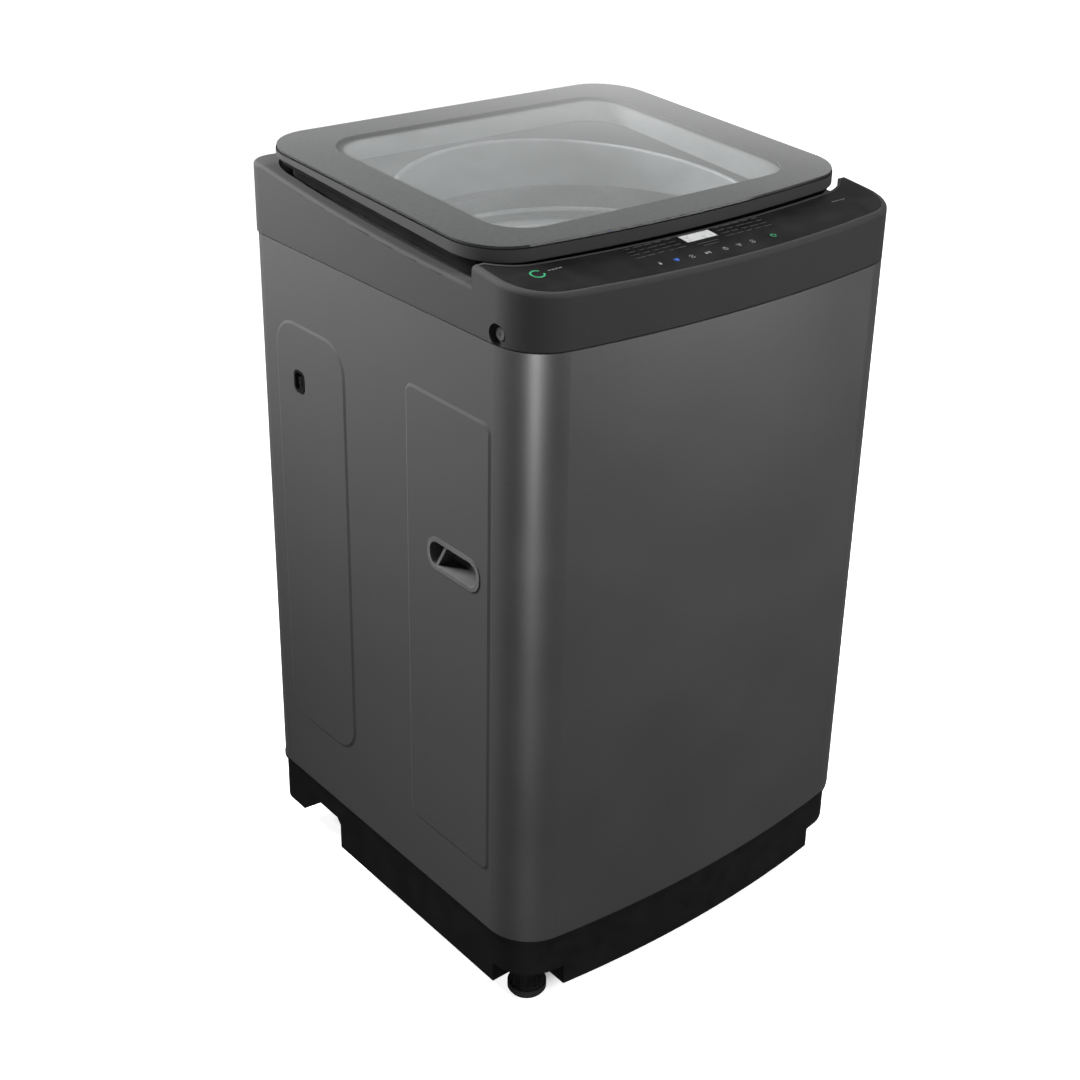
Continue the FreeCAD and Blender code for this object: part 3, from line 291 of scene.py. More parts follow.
MATERIALS = {
    "cabinet": painted_steel(),
    "cover": cover_plastic(),
    "black": moulded("black_plastic", grey(0.004), grey(0.0065), 0.65, specular=0.1),
    "soot": moulded("black_gasket", grey(0.003), grey(0.005), 0.8, specular=0.08),
    "gloss": gloss_panel(),
    "white": moulded("white_plastic", (0.62, 0.63, 0.62), (0.7, 0.7, 0.68), 0.4),
    "tub": moulded("tub_plastic", (0.5, 0.51, 0.5), (0.6, 0.6, 0.58), 0.5),
    "steel": brushed("stainless", (0.5, 0.5, 0.5), (0.66, 0.66, 0.65), 0.26),
    "zinc": zinc(),
    "aluminium": cast_aluminium(),
    "rubber": rubber("rubber", 0.008),
    "board": board_green(),
    "motor": moulded("motor_steel", (0.05, 0.05, 0.055), (0.08, 0.08, 0.085), 0.4),
    "pane": lid_pane((0.8, 0.81, 0.81)),
    # Window film: slight haze and painted reflection.
    "film": film(),
    "enamel": enamel(),
    "display": display_glass(),
    "print": tinted("pale_print", grey(0.08), grey(0.11)),
    "faint": tinted("faint_print", grey(0.02), grey(0.028)),
    "green": tinted("green_print", (0.015, 0.13, 0.06), (0.02, 0.18, 0.08), glow=0.1),
    "blue": tinted("blue_key", (0.02, 0.08, 0.36), (0.035, 0.12, 0.5), glow=0.2),
    "print_soft": tinted("soft_print", grey(0.1), grey(0.14)),
    "cup": moulded("cup_plastic", grey(0.05), grey(0.065), 0.5, specular=0.35),
    # Grey trim of the opening's sleeve and of the window's inner face, where it is partly painted light.
    "trim": moulded("trim_plastic", grey(0.2), grey(0.25), 0.4, 1100, 0.00005),
    # Pale lip colour: painted highlight along the rim of the loading opening.
    "lip": moulded("lip_painted_highlight", grey(0.42), grey(0.5), 0.35, 1100, 0.00005),
    "pulsator": moulded("pulsator_plastic", (0.46, 0.47, 0.47), (0.54, 0.54, 0.53), 0.34, 1200, 0.00005),
    "spring": brushed("spring_steel", grey(0.22), grey(0.34), 0.34, (300, 300, 300)),
    "net": net_weave(),
}
FINISHES = {
    "cabinet": ["cabinet", "cover_screws"],
    "cover": ["top_cover", "lid_frame"],
    "soot": ["lid_liner"],
    "cup": ["handle_cup_right", "handle_cup_left"],
    "black": ["base_frame", "side_clip", "board_tray",
              "hinge_brackets", "motor_pulley", "cord_gland", "rear_feet", "run_capacitor", "inlet_coil",
              "valve_actuator", "level_foot_left", "level_foot_right"],
    "gloss": ["control_panel"],
    "display": ["display_window"],
    "white": ["detergent_housing", "detergent_drawer", "lint_filter_right", "lint_filter_left",
              "balance_ring", "pulsator", "pulsator_cap", "inlet_valve", "drain_outlet", "basket_base",
              "drain_valve"],
    "tub": ["outer_tub", "tub_ring", "drive_pulley", "damper_cups", "fill_tube"],
    "steel": ["wash_basket", "spin_tube", "wash_shaft"],
    "zinc": ["rear_panel", "corner_brackets", "suspension_rods", "suspension_springs", "lid_hinge_pins",
             "mounting_plate", "rear_panel_screws", "motor_stator", "spin_bearings"],
    "aluminium": ["gearcase", "basket_hub", "motor_rotor"],
    "rubber": ["foot_pad_left", "foot_pad_right", "lid_bumpers", "drive_belt", "shaft_seal"],
    "board": ["control_board"],
    "motor": ["motor_housing"],
    "pane": ["lid_glass"],
}
for finish, names in FINISHES.items():
    for name in names:
        mesh = NODES[name].data
        mesh.materials.clear()
        mesh.materials.append(MATERIALS[finish])


# --- building helpers ----------------------------------------------------------------------------

def piece(name, mesh, finish, body, slot, *replaced):
    """Puts a finished mesh in the scene as a piece that rides on a body."""
    made = bpy.data.objects.new(name, mesh)
    bpy.context.scene.collection.objects.link(made)
    mesh.materials.clear()
    mesh.materials.append(MATERIALS[finish])
    if replaced:
        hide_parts(*replaced)
    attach(made, body)
    return made


def mesh_from(bm, name, smooth=True):
    bmesh.ops.recalc_face_normals(bm, faces=bm.faces)
    for face in bm.faces:
        face.smooth = smooth
    mesh = bpy.data.meshes.new(name)
    bm.to_mesh(mesh)
    bm.free()
    return mesh


def outline(half, front, bow, back, corner, inset=0.0, back_corner=None, steps=14):
    """Points of a flat-sided shape with a bowed front and round corners, moved inwards by inset."""
    bow_radius = (half ** 2 + bow ** 2) / (2 * bow)
    middle_y = front + bow_radius
    bow_radius -= inset
    half, back, r = half - inset, back - inset, max(corner - inset, 0.003)
    rear = max((corner if back_corner is None else back_corner) - inset, 0.003)
    fx = half - r
    fy = middle_y - math.sqrt((bow_radius - r) ** 2 - fx ** 2)
    turn = math.atan2(fy - middle_y, fx)

    def arc(cx, cy, radius, start, end):
        angles = [start + (end - start) * k / steps for k in range(steps)]
        return [(cx + radius * math.cos(a), cy + radius * math.sin(a)) for a in angles]

    quarter = math.pi / 2
    return (arc(0, middle_y, bow_radius, -math.pi - turn, turn) + arc(fx, fy, r, turn, 0)
            + arc(half - rear, back - rear, rear, 0, quarter)
            + arc(rear - half, back - rear, rear, quarter, 2 * quarter)
            + arc(-fx, fy, r, 2 * quarter, 2 * quarter - turn))


# half width, front, bow of the front, back and corner radius
LID_PLAN = (0.26475, -0.1864, 0.0198, 0.2494, 0.062)
WINDOW_PLAN = (0.21, -0.141, 0.003, 0.204, 0.05)
CABINET_PLAN = (0.27, -0.267, 0.024, 0.267, 0.058)
CABINET_BACK_CORNER = 0.03


def lid_outline(inset=0.0):
    return outline(*LID_PLAN, inset)


def window_outline(inset=0.0):
    return outline(*WINDOW_PLAN, inset)


def band(name, outer, inner, low, high):
    """Closed ring between two outlines of the same number of points; low and high give heights from y."""
    bm = bmesh.new()
    rows = [[bm.verts.new((x, y, level(y))) for x, y in line]
            for line, level in ((outer, low), (outer, high), (inner, high), (inner, low))]
    count = len(outer)
    for row, following in zip(rows, rows[1:] + rows[:1]):
        for k in range(count):
            after = (k + 1) % count
            bm.faces.new((row[k], row[after], following[after], following[k]))
    return mesh_from(bm, name, smooth=False)


def prints(name, shapes, level, thickness=0.00012):
    """Thin raised print: closed flat shapes lying on a sloping surface whose height comes from y."""
    bm = bmesh.new()
    for shape in shapes:
        low = [bm.verts.new((x, y, level(y) - thickness)) for x, y in shape]
        high = [bm.verts.new((x, y, level(y) + thickness)) for x, y in shape]
        bm.faces.new(low)
        bm.faces.new(high)
        for k in range(len(shape)):
            after = (k + 1) % len(shape)
            bm.faces.new((low[k], low[after], high[after], high[k]))
    return mesh_from(bm, name, smooth=False)


def tube_along(points, radius, sides=8):
    """Round wire with flat ends through points, as a bmesh."""
    bm = bmesh.new()
    rings = []
    for k, point in enumerate(points):
        ahead = points[k + 1] if k + 1 < len(points) else point
        behind = points[k - 1] if k else point
        way = (Vector(ahead) - Vector(behind)).normalized()
        side = way.cross(Vector((0, 0, 1)))
        side = side.normalized() if side.length > 1e-6 else Vector((1, 0, 0))
        other = side.cross(way)
        rings.append([bm.verts.new(Vector(point) + radius * (math.cos(a) * side + math.sin(a) * other))
                      for a in (2 * math.pi * s / sides for s in range(sides))])
    for first, second in zip(rings, rings[1:]):
        for s in range(sides):
            after = (s + 1) % sides
            bm.faces.new((first[s], first[after], second[after], second[s]))
    bm.faces.new(rings[0])
    bm.faces.new(rings[-1])
    return bm


# --- lid -----------------------------------------------------------------------------------------

LID_SLOPE, LINER_SLOPE = 0.054, 0.075
glass_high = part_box("lid_glass")[1]


def glass_top(y, below=0.0):
    """Height of the lid glass's upper face, or of a level below it."""
    return glass_high.z - LID_SLOPE * (glass_high.y - y) - below


def lid_pieces():
    enamel_band = band("enamel_band", lid_outline(0.0013), window_outline(),
                       lambda y: glass_top(y, 0.0037), lambda y: glass_top(y, 0.0003))
    piece("enamel_band", enamel_band, "enamel", "lid", "lid_grey")
    bead = band("glass_bead", lid_outline(0.0004), lid_outline(0.006),
                lambda y: glass_top(y, 0.0041), lambda y: glass_top(y, 0.0027))
    piece("glass_bead", bead, "soot", "lid", "rubber")
    dots = []
    for row in range(4):
        line = window_outline(0.0014 + 0.0022 * row)
        size = 0.0009 - 0.00018 * row
        length = 0.0
        for k, start in enumerate(line):
            end = line[(k + 1) % len(line)]
            run = math.dist(start, end)
            while length < run:
                t = length / run
                cx, cy = start[0] + t * (end[0] - start[0]), start[1] + t * (end[1] - start[1])
                dots.append([(cx + size * math.cos(a), cy + size * math.sin(a))
                             for a in (math.pi * s / 3 for s in range(6))])
                length += 0.0024
            length -= run
    mesh = prints("enamel_dots", dots, lambda y: glass_top(y, 0.0036))
    piece("enamel_dots", mesh, "enamel", "lid", "lid_grey")
    # Milky film under the window: slight haze and painted reflection.
    veil = prints("window_haze_painted_reflection", [window_outline(-0.001)], lambda y: glass_top(y, 0.0043))
    piece("window_haze_painted_reflection", veil, "film", "lid", "lid_grey")


DECK_FRONT, DECK_DEPTH, DECK_LOW = -0.150, 0.379, 0.863
MOUTH_RADIUS, MOUTH_FRONT, MOUTH_POWER = 0.214, 0.132, -18
SLEEVE_LOW = 0.8345
DRAWER_SLOT_HALF, DRAWER_SLOT_HEAD = 0.0395, 0.003


def deck_top(y):
    """Height of the top cover's sunk deck, which rises towards the back."""
    share = (y - DECK_FRONT) / DECK_DEPTH
    return DECK_LOW + 0.0212 * share + 0.0108 * share * share


def mouth_outline(inset=0.0, steps=120):
    """Loading opening in the deck: round, with a straight front and round corners."""
    points = []
    for k in range(steps):
        a = 2 * math.pi * k / steps
        ahead = max(-math.sin(a), 0.05)
        round_part = (MOUTH_RADIUS - inset) ** MOUTH_POWER
        r = (round_part + ((MOUTH_FRONT - inset) / ahead) ** MOUTH_POWER) ** (1 / MOUTH_POWER)
        points.append((AXIS[0] + r * math.cos(a), AXIS[1] + r * math.sin(a)))
    return points


def seam_painted_shade():
    """Dark band in the groove between the top cover and the cabinet, painted shade that stands in for the
    groove's shadow.
    """
    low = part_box("top_cover")[0].z

    def line(inset):
        return outline(*CABINET_PLAN, inset, CABINET_BACK_CORNER)

    gasket = band("seam_painted_shade", line(0.0011), line(0.0026), lambda y: low + 0.0001, lambda y: low + 0.0014)
    piece("seam_painted_shade", gasket, "soot", "machine", "rubber")


def mouth_pieces():
    """Trim round the loading opening, with a gap for the drawer; a pale lip on its rim, painted highlight on
    a rounded edge that also catches real light; and a grey face round the lid's window, partly painted light.
    """
    sleeve = band("mouth_sleeve", mouth_outline(0.0004, 480), mouth_outline(0.002, 480),
                  lambda y: SLEEVE_LOW, lambda y: deck_top(y) + 0.001)
    slot_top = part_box("detergent_drawer")[1].z + DRAWER_SLOT_HEAD
    for vertex in sleeve.vertices:
        x, y = vertex.co.x - AXIS[0], vertex.co.y - AXIS[1]
        if y > x and abs(x + y) < DRAWER_SLOT_HALF * math.sqrt(2):
            vertex.co.z = max(vertex.co.z, slot_top)
    piece("mouth_sleeve", sleeve, "trim", "machine", "white_plastic")
    # Pale lip on the opening's rim: painted highlight along the edge, on a rounded edge that also catches
    # real light.
    lip = band("mouth_lip_painted_highlight", mouth_outline(-0.0035), mouth_outline(0.002),
               lambda y: deck_top(y) - 0.0005, lambda y: deck_top(y) + 0.0022)
    lip = piece("mouth_lip_painted_highlight", lip, "lip", "machine", "white_plastic")
    soft = lip.modifiers.new("soft", "BEVEL")
    soft.width, soft.segments = 0.001, 3
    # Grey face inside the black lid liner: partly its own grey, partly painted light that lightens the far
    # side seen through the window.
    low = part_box("lid_liner")[0]
    inner = band("window_trim_painted_light", window_outline(-0.0058), window_outline(-0.0044),
                 lambda y: low.z + 0.001 + LINER_SLOPE * (y - low.y), lambda y: glass_top(y, 0.0043))
    piece("window_trim_painted_light", inner, "trim", "lid", "white_plastic")


# --- control panel -------------------------------------------------------------------------------

PANEL_SLOPE = 0.13
panel_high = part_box("control_panel")[1]


def panel_top(y):
    """Height of the print on the control panel."""
    return panel_high.z - PANEL_SLOPE * (panel_high.y - y) + 0.00006


def disc(cx, cy, r, sides=20):
    return [(cx + r * math.cos(2 * math.pi * k / sides), cy + r * math.sin(2 * math.pi * k / sides))
            for k in range(sides)]


def loop(cx, cy, r, width, start=0.0, end=360.0, steps=24):
    """Open or closed circular stroke as one run of short quads."""
    quads = []
    for k in range(steps):
        a, b = (math.radians(start + (end - start) * n / steps) for n in (k, k + 1))
        quads.append([(cx + q * math.cos(t), cy + q * math.sin(t))
                      for q, t in ((r, a), (r, b), (r - width, b), (r - width, a))])
    return quads


def dash(cx, cy, width, height):
    return [(cx - width / 2, cy - height / 2), (cx + width / 2, cy - height / 2),
            (cx + width / 2, cy + height / 2), (cx - width / 2, cy + height / 2)]


def key_symbols(cx, cy, kind):
    """Plain symbol about 7 mm wide on a touch key."""
    mm = 0.001
    if kind == "power":
        return loop(cx, cy, 3.4 * mm, 0.8 * mm, 120, 420) + [dash(cx, cy + 2.4 * mm, 0.8 * mm, 3.2 * mm)]
    if kind == "start":
        return [[(cx - 2.6 * mm, cy - 2.6 * mm), (cx + 1.2 * mm, cy), (cx - 2.6 * mm, cy + 2.6 * mm)],
                dash(cx + 2.2 * mm, cy, 0.8 * mm, 5 * mm), dash(cx + 3.8 * mm, cy, 0.8 * mm, 5 * mm)]
    if kind == "drop":
        side = [(1.9 * math.cos(a), 1.9 * math.sin(a) - 0.8)
                for a in (math.radians(200 + 14 * k) for k in range(11))]
        return [[(cx + x * mm, cy + y * mm) for x, y in side + [(0.0, 3.2)]]]
    if kind == "level":
        return [dash(cx, cy + (1.9 * k - 1.9) * mm, (3.2 + 1.5 * k) * mm, 0.8 * mm) for k in range(3)]
    if kind == "spin":
        return (loop(cx, cy, 3.2 * mm, 0.7 * mm, 20, 160, 10) + loop(cx, cy, 3.2 * mm, 0.7 * mm, 200, 340, 10)
                + [disc(cx, cy, 0.9 * mm, 12)])
    return loop(cx, cy, 3.0 * mm, 0.7 * mm) + [dash(cx, cy + 0.9 * mm, 0.7 * mm, 2.4 * mm)]


def panel_pieces():
    mm = 0.001
    ring = loop(-224 * mm, -202 * mm, 8 * mm, 1.9 * mm, 40, 350)
    piece("ring_mark", prints("ring_mark", ring, panel_top), "green", "machine", "display")
    tag = [dash((-208 + 4.6 * k) * mm, -200.5 * mm, 3.4 * mm, 1.5 * mm) for k in range(4)]
    tag += [dash((196 + 4.4 * k) * mm, -204 * mm, 3.2 * mm, 1.3 * mm) for k in range(5)]
    piece("plain_dashes", prints("plain_dashes", tag, panel_top), "print", "machine", "display")

    keys = ((-74, "level", "blue"), (-96, "drop", "keys"), (-54, "spin", "keys"), (-33, "start", "keys"),
            (-8, "timer", "keys"), (12, "level", "keys"), (32, "spin", "keys"), (64, "power", "green"))
    groups = {}
    for x, kind, finish in keys:
        y = (-241.5 + 0.00075 * x * x / 2) * mm
        groups.setdefault(finish, []).extend(key_symbols(x * mm, y, kind))
    for finish, shapes in groups.items():
        name = "touch_keys_" + finish
        piece(name, prints(name, shapes, panel_top), "print_soft" if finish == "keys" else finish,
              "machine", "display")

    legend = []
    for row, y in enumerate((-197.5, -204.5, -211.5, -218.5)):
        for k in range(5):
            width = 6.5 + 1.7 * ((3 * k + 5 * row) % 4)
            for x in (-104 + 14 * k, 22 + 14 * k):
                legend.append(dash(x * mm, y * mm, width * mm, 1.1 * mm))
                legend.append(disc((x - width / 2 - 1.9) * mm, y * mm, 0.6 * mm, 8))
    legend += [dash(-13 * mm, (-221 - 5 * k) * mm, (30 - 8 * k) * mm, 0.8 * mm) for k in range(2)]
    piece("faint_legend", prints("faint_legend", legend, panel_top), "faint", "machine", "display")


# --- washing unit --------------------------------------------------------------------------------

def wash_axis():
    low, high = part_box("wash_basket")
    return (low.x + high.x) / 2, (low.y + high.y) / 2


AXIS = wash_axis()


def basket_drum():
    """Perforated drum: every other cell of the wall, away from its top and bottom rows, has a round hole, on
    shallow upright flutes.
    """
    low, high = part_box("wash_basket")
    radius = high.x - AXIS[0] - 0.0004
    z0, z1 = low.z + 0.006, high.z
    columns, rows = 84, 25
    bm = bmesh.new()

    def spot(u, v):
        a = 2 * math.pi * u / columns
        edge = min(1.0, 6 * min(v / rows, 1 - v / rows))
        r = radius - 0.0013 * edge * (1 + math.cos(14 * a)) / 2
        if v < 0:
            r = radius - 0.012
        z = low.z if v < 0 else z0 + (z1 - z0) * v / rows
        return Vector((AXIS[0] + r * math.cos(a), AXIS[1] + r * math.sin(a), z))

    for row in range(rows):
        for column in range(columns):
            open_cell = 1 <= row < rows - 2 and (row + column) % 2 == 0
            u, v = column + 0.5, row + 0.5
            rim = [(0.5, 0), (0.5, 0.5), (0, 0.5), (-0.5, 0.5),
                   (-0.5, 0), (-0.5, -0.5), (0, -0.5), (0.5, -0.5)]
            outer = [bm.verts.new(spot(u + x, v + y)) for x, y in rim]
            if open_cell:
                inner = [bm.verts.new(spot(u + 0.17 * math.cos(math.pi * k / 4),
                                           v + 0.17 * math.sin(math.pi * k / 4))) for k in range(8)]
                for k in range(8):
                    after = (k + 1) % 8
                    bm.faces.new((outer[k], outer[after], inner[after], inner[k]))
            else:
                bm.faces.new(outer)
    for column in range(columns):
        corners = [(column, 0), (column + 1, 0), (column + 1, -1), (column, -1)]
        bm.faces.new([bm.verts.new(spot(u, v)) for u, v in corners])
    bmesh.ops.remove_doubles(bm, verts=bm.verts, dist=0.00005)
    drum = piece("basket_drum", mesh_from(bm, "basket_drum"), "steel", "basket", "stainless", "wash_basket")
    wall = drum.modifiers.new("wall", "SOLIDIFY")
    wall.thickness, wall.offset = 0.0008, 0.0


def pulsator_dish():
    """Low dish with six curved vanes that swell out of it."""
    low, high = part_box("pulsator")
    radius = (high.x - low.x) / 2
    bore = 0.0082
    rings, spokes = 46, 192
    bm = bmesh.new()

    def height(r, a):
        share = r / radius
        dish = 0.0075 + 0.0155 * max(0.0, 1 - share / 0.42) ** 1.6 + 0.004 * share ** 6
        along = max(0.0, min(1.0, (share - 0.2) / 0.16)) * max(0.0, min(1.0, (0.97 - share) / 0.3))
        along = along * along * (3 - 2 * along)
        turn = (a + 0.55 * share ** 1.5) % (math.pi / 3) - math.pi / 6
        vane = math.exp(-(r * turn / (0.0085 + 0.006 * share)) ** 2)
        ripple = 0.0012 * math.cos(math.pi * share * 9) * (1 - vane) * along
        return min(low.z + 0.006 + dish + 0.0185 * vane * along + ripple, high.z)

    top = []
    for k in range(rings + 1):
        r = bore + (radius - bore) * k / rings
        top.append([bm.verts.new((AXIS[0] + r * math.cos(a), AXIS[1] + r * math.sin(a), height(r, a)))
                    for a in (2 * math.pi * s / spokes for s in range(spokes))])
    for r, z in ((radius, low.z + 0.011), (radius - 0.004, low.z + 0.008), (0.018, low.z + 0.006),
                 (0.018, low.z), (bore, low.z)):
        top.append([bm.verts.new((AXIS[0] + r * math.cos(a), AXIS[1] + r * math.sin(a), z))
                    for a in (2 * math.pi * s / spokes for s in range(spokes))])
    for first, second in zip(top, top[1:] + top[:1]):
        for s in range(spokes):
            after = (s + 1) % spokes
            bm.faces.new((first[s], first[after], second[after], second[s]))
    piece("pulsator_dish", mesh_from(bm, "pulsator_dish"), "pulsator", "pulsator", "white_plastic",
          "pulsator")


def coil_springs():
    """Four compression springs on the hanging rods, with closed ends."""
    low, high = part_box("suspension_springs")
    wire, coil, turns, steps, travel = 0.0016, 0.014, 8, 22, 0.04
    reach = (high.x - low.x) / 2 - coil - wire
    depth = (high.y - low.y) / 2 - coil - wire
    middle = (low + high) / 2
    z0, z1 = low.z + wire, high.z - wire
    whole = bmesh.new()
    for sx in (-1, 1):
        for sy in (-1, 1):
            points = []
            for k in range(turns * steps + 1):
                t = k / (turns * steps)
                rise = max(0.0, min(1.0, (t - 0.09) / 0.82))
                lift = 0.5 * wire * (min(t, 0.09) / 0.09 + max(0.0, t - 0.91) / 0.09)
                a = 2 * math.pi * turns * t
                points.append((middle.x + sx * reach + coil * math.cos(a),
                               middle.y + sy * depth + coil * math.sin(a),
                               z0 + lift + (z1 - z0 - wire) * rise))
            one = tube_along(points, wire)
            mesh = bpy.data.meshes.new("one_coil")
            one.to_mesh(mesh)
            one.free()
            whole.from_mesh(mesh)
            bpy.data.meshes.remove(mesh)
    coils = piece("coil_springs", mesh_from(whole, "coil_springs"), "spring", "machine", "zinc_steel",
                  "suspension_springs")
    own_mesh(coils)


def filter_nets():
    """Woven net behind the slots of each lint cassette."""
    for side, name in ((1, "right"), (-1, "left")):
        low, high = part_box("lint_filter_" + name)
        outer = max(abs(low.x), abs(high.x)) - AXIS[0] * side
        r = outer - 0.0045
        half = math.asin(((high.y - low.y) / 2 - 0.006) / r)
        bm = bmesh.new()
        grid = []
        for k in range(25):
            a = -half + 2 * half * k / 24
            x, y = AXIS[0] + side * r * math.cos(a), AXIS[1] + r * math.sin(a)
            grid.append([bm.verts.new((x, y, low.z + 0.006 + (high.z - low.z - 0.012) * n / 30))
                         for n in range(31)])
        for first, second in zip(grid, grid[1:]):
            for n in range(30):
                bm.faces.new((first[n], second[n], second[n + 1], first[n + 1]))
        net = piece("lint_net_" + name, mesh_from(bm, "lint_net_" + name), "net", "lint_filter_" + name,
                    "white_plastic")
        cloth = net.modifiers.new("cloth", "SOLIDIFY")
        cloth.thickness = 0.0004


def inlet_thread():
    """Ridge of the hose thread on the water inlet."""
    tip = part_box("inlet_valve")[1].y - 0.0015
    x, z, radius = 0.150, 0.858, 0.0128
    turns, steps, pitch = 6, 28, 0.0018
    points = []
    for k in range(turns * steps + 1):
        a = 2 * math.pi * k / steps
        points.append((x + radius * math.cos(a), tip - pitch * k / steps, z + radius * math.sin(a)))
    piece("inlet_thread", mesh_from(tube_along(points, 0.0007, 6), "inlet_thread"), "white", "machine",
          "white_plastic")


lid_pieces()
seam_painted_shade()
mouth_pieces()
panel_pieces()
basket_drum()
pulsator_dish()
coil_springs()
filter_nets()
inlet_thread()


# --- floor, light and camera ---------------------------------------------------------------------

def floor():
    """Pale floor, white to the camera and dim to other rays, with painted shade inside the base: dark to the
    camera within the machine's footprint.
    """
    bm = bmesh.new()
    bmesh.ops.create_grid(bm, x_segments=4, y_segments=4, size=14)
    sheet = bpy.data.objects.new("floor", mesh_from(bm, "floor"))
    bpy.context.scene.collection.objects.link(sheet)
    f = Finish("floor_paint", 0.75, specular=0.1)
    f.colours(f.noise(2, 3), grey(0.86), grey(0.9))
    f.shader.inputs["Emission Color"].default_value = (1, 1, 1, 1)
    f.shader.inputs["Emission Strength"].default_value = 0.9
    dim = f.node("ShaderNodeBsdfDiffuse")
    dim.inputs["Color"].default_value = (0.07, 0.07, 0.07, 1)
    split = f.node("ShaderNodeSeparateXYZ")
    f.link(f.node("ShaderNodeTexCoord").outputs["Object"], split.inputs["Vector"])
    across, along = (f.node("ShaderNodeMath", operation="ABSOLUTE") for _ in range(2))
    f.link(split.outputs["X"], across.inputs[0])
    f.link(split.outputs["Y"], along.inputs[0])
    reach = f.node("ShaderNodeMath", operation="MAXIMUM")
    f.link(across.outputs["Value"], reach.inputs[0])
    f.link(along.outputs["Value"], reach.inputs[1])
    seen = f.node("ShaderNodeLightPath")
    # Painted shade: inside the machine's footprint, camera rays see the dim floor instead of the white one.
    lit = f.node("ShaderNodeMath", operation="MULTIPLY")
    f.link(seen.outputs["Is Camera Ray"], lit.inputs[0])
    f.link(f.between(reach.outputs["Value"], 0.0, 1.0, 0.18, 0.22), lit.inputs[1])
    mix = f.node("ShaderNodeMixShader")
    f.link(lit.outputs["Value"], mix.inputs["Fac"])
    f.link(dim.outputs["BSDF"], mix.inputs[1])
    f.link(f.shader.outputs["BSDF"], mix.inputs[2])
    f.link(mix.outputs["Shader"], f.tree.nodes["Material Output"].inputs["Surface"])
    sheet.data.materials.append(f.material)


def sky():
    """Studio surround, white to the camera; what it lights and mirrors is brightest low down behind."""
    world = bpy.data.worlds.new("studio")
    bpy.context.scene.world = world
    world.use_nodes = True
    tree = world.node_tree
    place = tree.nodes.new("ShaderNodeTexCoord")
    split = tree.nodes.new("ShaderNodeSeparateXYZ")
    ramp = tree.nodes.new("ShaderNodeValToRGB")
    stops = ramp.color_ramp.elements
    levels = ((0.0, 0.9), (0.24, 1.0), (0.295, 1.0), (0.31, 0.75), (0.33, 0.44), (0.35, 0.3), (0.38, 0.23),
              (0.42, 0.07), (0.48, 0.04), (1.0, 0.04))
    for position, level in levels[1:-1]:
        stops.new(position).color = (level, level, level, 1)
    for stop, (position, level) in ((stops[0], levels[0]), (stops[-1], levels[-1])):
        stop.position, stop.color = position, (level, level, level, 1)
    behind = tree.nodes.new("ShaderNodeVectorMath")
    behind.operation = "DOT_PRODUCT"
    behind.inputs[1].default_value = (0.92, 0.39, 0.0)
    share = tree.nodes.new("ShaderNodeMapRange")
    for name, number in (("From Min", -0.1), ("From Max", 0.6), ("To Min", 0.05), ("To Max", 1.5)):
        share.inputs[name].default_value = number
    tree.links.new(place.outputs["Generated"], split.inputs["Vector"])
    tree.links.new(place.outputs["Generated"], behind.inputs[0])
    tree.links.new(behind.outputs["Value"], share.inputs["Value"])
    tree.links.new(split.outputs["Z"], ramp.inputs["Fac"])
    tree.links.new(ramp.outputs["Color"], tree.nodes["Background"].inputs["Color"])
    tree.links.new(share.outputs["Result"], tree.nodes["Background"].inputs["Strength"])
    plain = tree.nodes.new("ShaderNodeBackground")
    plain.inputs["Color"].default_value = (1, 1, 1, 1)
    seen = tree.nodes.new("ShaderNodeLightPath")
    mix = tree.nodes.new("ShaderNodeMixShader")
    tree.links.new(seen.outputs["Is Camera Ray"], mix.inputs["Fac"])
    tree.links.new(tree.nodes["Background"].outputs["Background"], mix.inputs[1])
    tree.links.new(plain.outputs["Background"], mix.inputs[2])
    tree.links.new(mix.outputs["Shader"], tree.nodes["World Output"].inputs["Surface"])


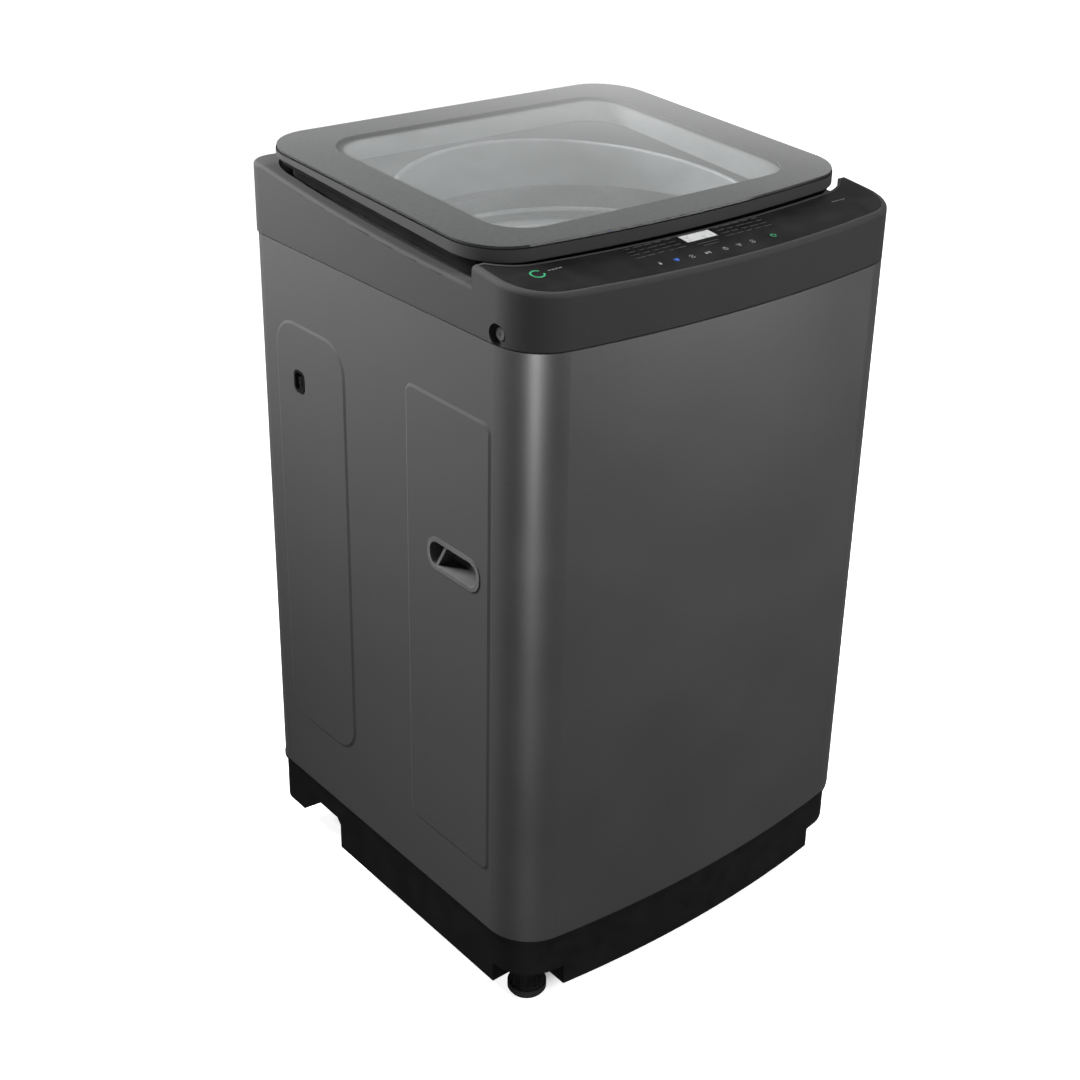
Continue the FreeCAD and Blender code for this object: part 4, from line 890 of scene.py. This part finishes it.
def softbox(name, place, target, width, height, power, diffuse=True, gloss=True):
    lamp = bpy.data.lights.new(name, "AREA")
    lamp.shape, lamp.size, lamp.size_y, lamp.energy = "RECTANGLE", width, height, power
    stand = bpy.data.objects.new(name, lamp)
    stand.location = place
    stand.rotation_euler = (Vector(target) - Vector(place)).to_track_quat("-Z", "Y").to_euler()
    stand.visible_camera = False
    stand.visible_diffuse = diffuse
    stand.visible_glossy = gloss
    bpy.context.scene.collection.objects.link(stand)


def camera():
    azimuth, elevation, roll = (math.radians(a) for a in (-41.217, 24.782, 1.734))
    focal_px, centre_px, frame_px, sensor = 1731.3, (580.0, 450.0), 1080.0, 36.0
    back = Vector((math.sin(azimuth) * math.cos(elevation), -math.cos(azimuth) * math.cos(elevation),
                   math.sin(elevation)))
    right = Vector((math.cos(azimuth), math.sin(azimuth), 0))
    up = back.cross(right)
    turned_right = right * math.cos(roll) + up * math.sin(roll)
    turned_up = up * math.cos(roll) - right * math.sin(roll)
    rows = Matrix((turned_right, turned_up, back)).transposed()
    data = bpy.data.cameras.new("camera")
    data.sensor_width = sensor
    data.lens = focal_px * sensor / frame_px
    data.shift_x = 0.5 - centre_px[0] / frame_px
    data.shift_y = centre_px[1] / frame_px - 0.5
    data.clip_start, data.clip_end = 0.05, 60
    holder = bpy.data.objects.new("camera", data)
    holder.matrix_world = Matrix.Translation((-1.2328, -1.4235, 1.4368)) @ rows.to_4x4()
    bpy.context.scene.collection.objects.link(holder)
    bpy.context.scene.camera = holder


floor()
sky()
softbox("overhead", (0.4, 0.3, 3.4), (0, 0, 0.5), 3.0, 3.0, 60, gloss=False)
softbox("key", (-0.1, -1.4, 2.6), (0.1, 0.1, 0.85), 0.8, 0.8, 50)
softbox("left", (-0.95, 0.95, 1.5), (-0.27, 0.2, 1.9), 0.9, 0.5, 238, gloss=False)
softbox("corner", (-2.45, -2.3, 0.3), (-0.24, -0.22, 0.1), 0.3, 1.7, 190, diffuse=False)
softbox("front", (1.5, -2.4, 0.8), (0.05, -0.26, 0.1), 1.6, 1.2, 44)
camera()
bpy.context.scene.view_settings.view_transform = "Standard"
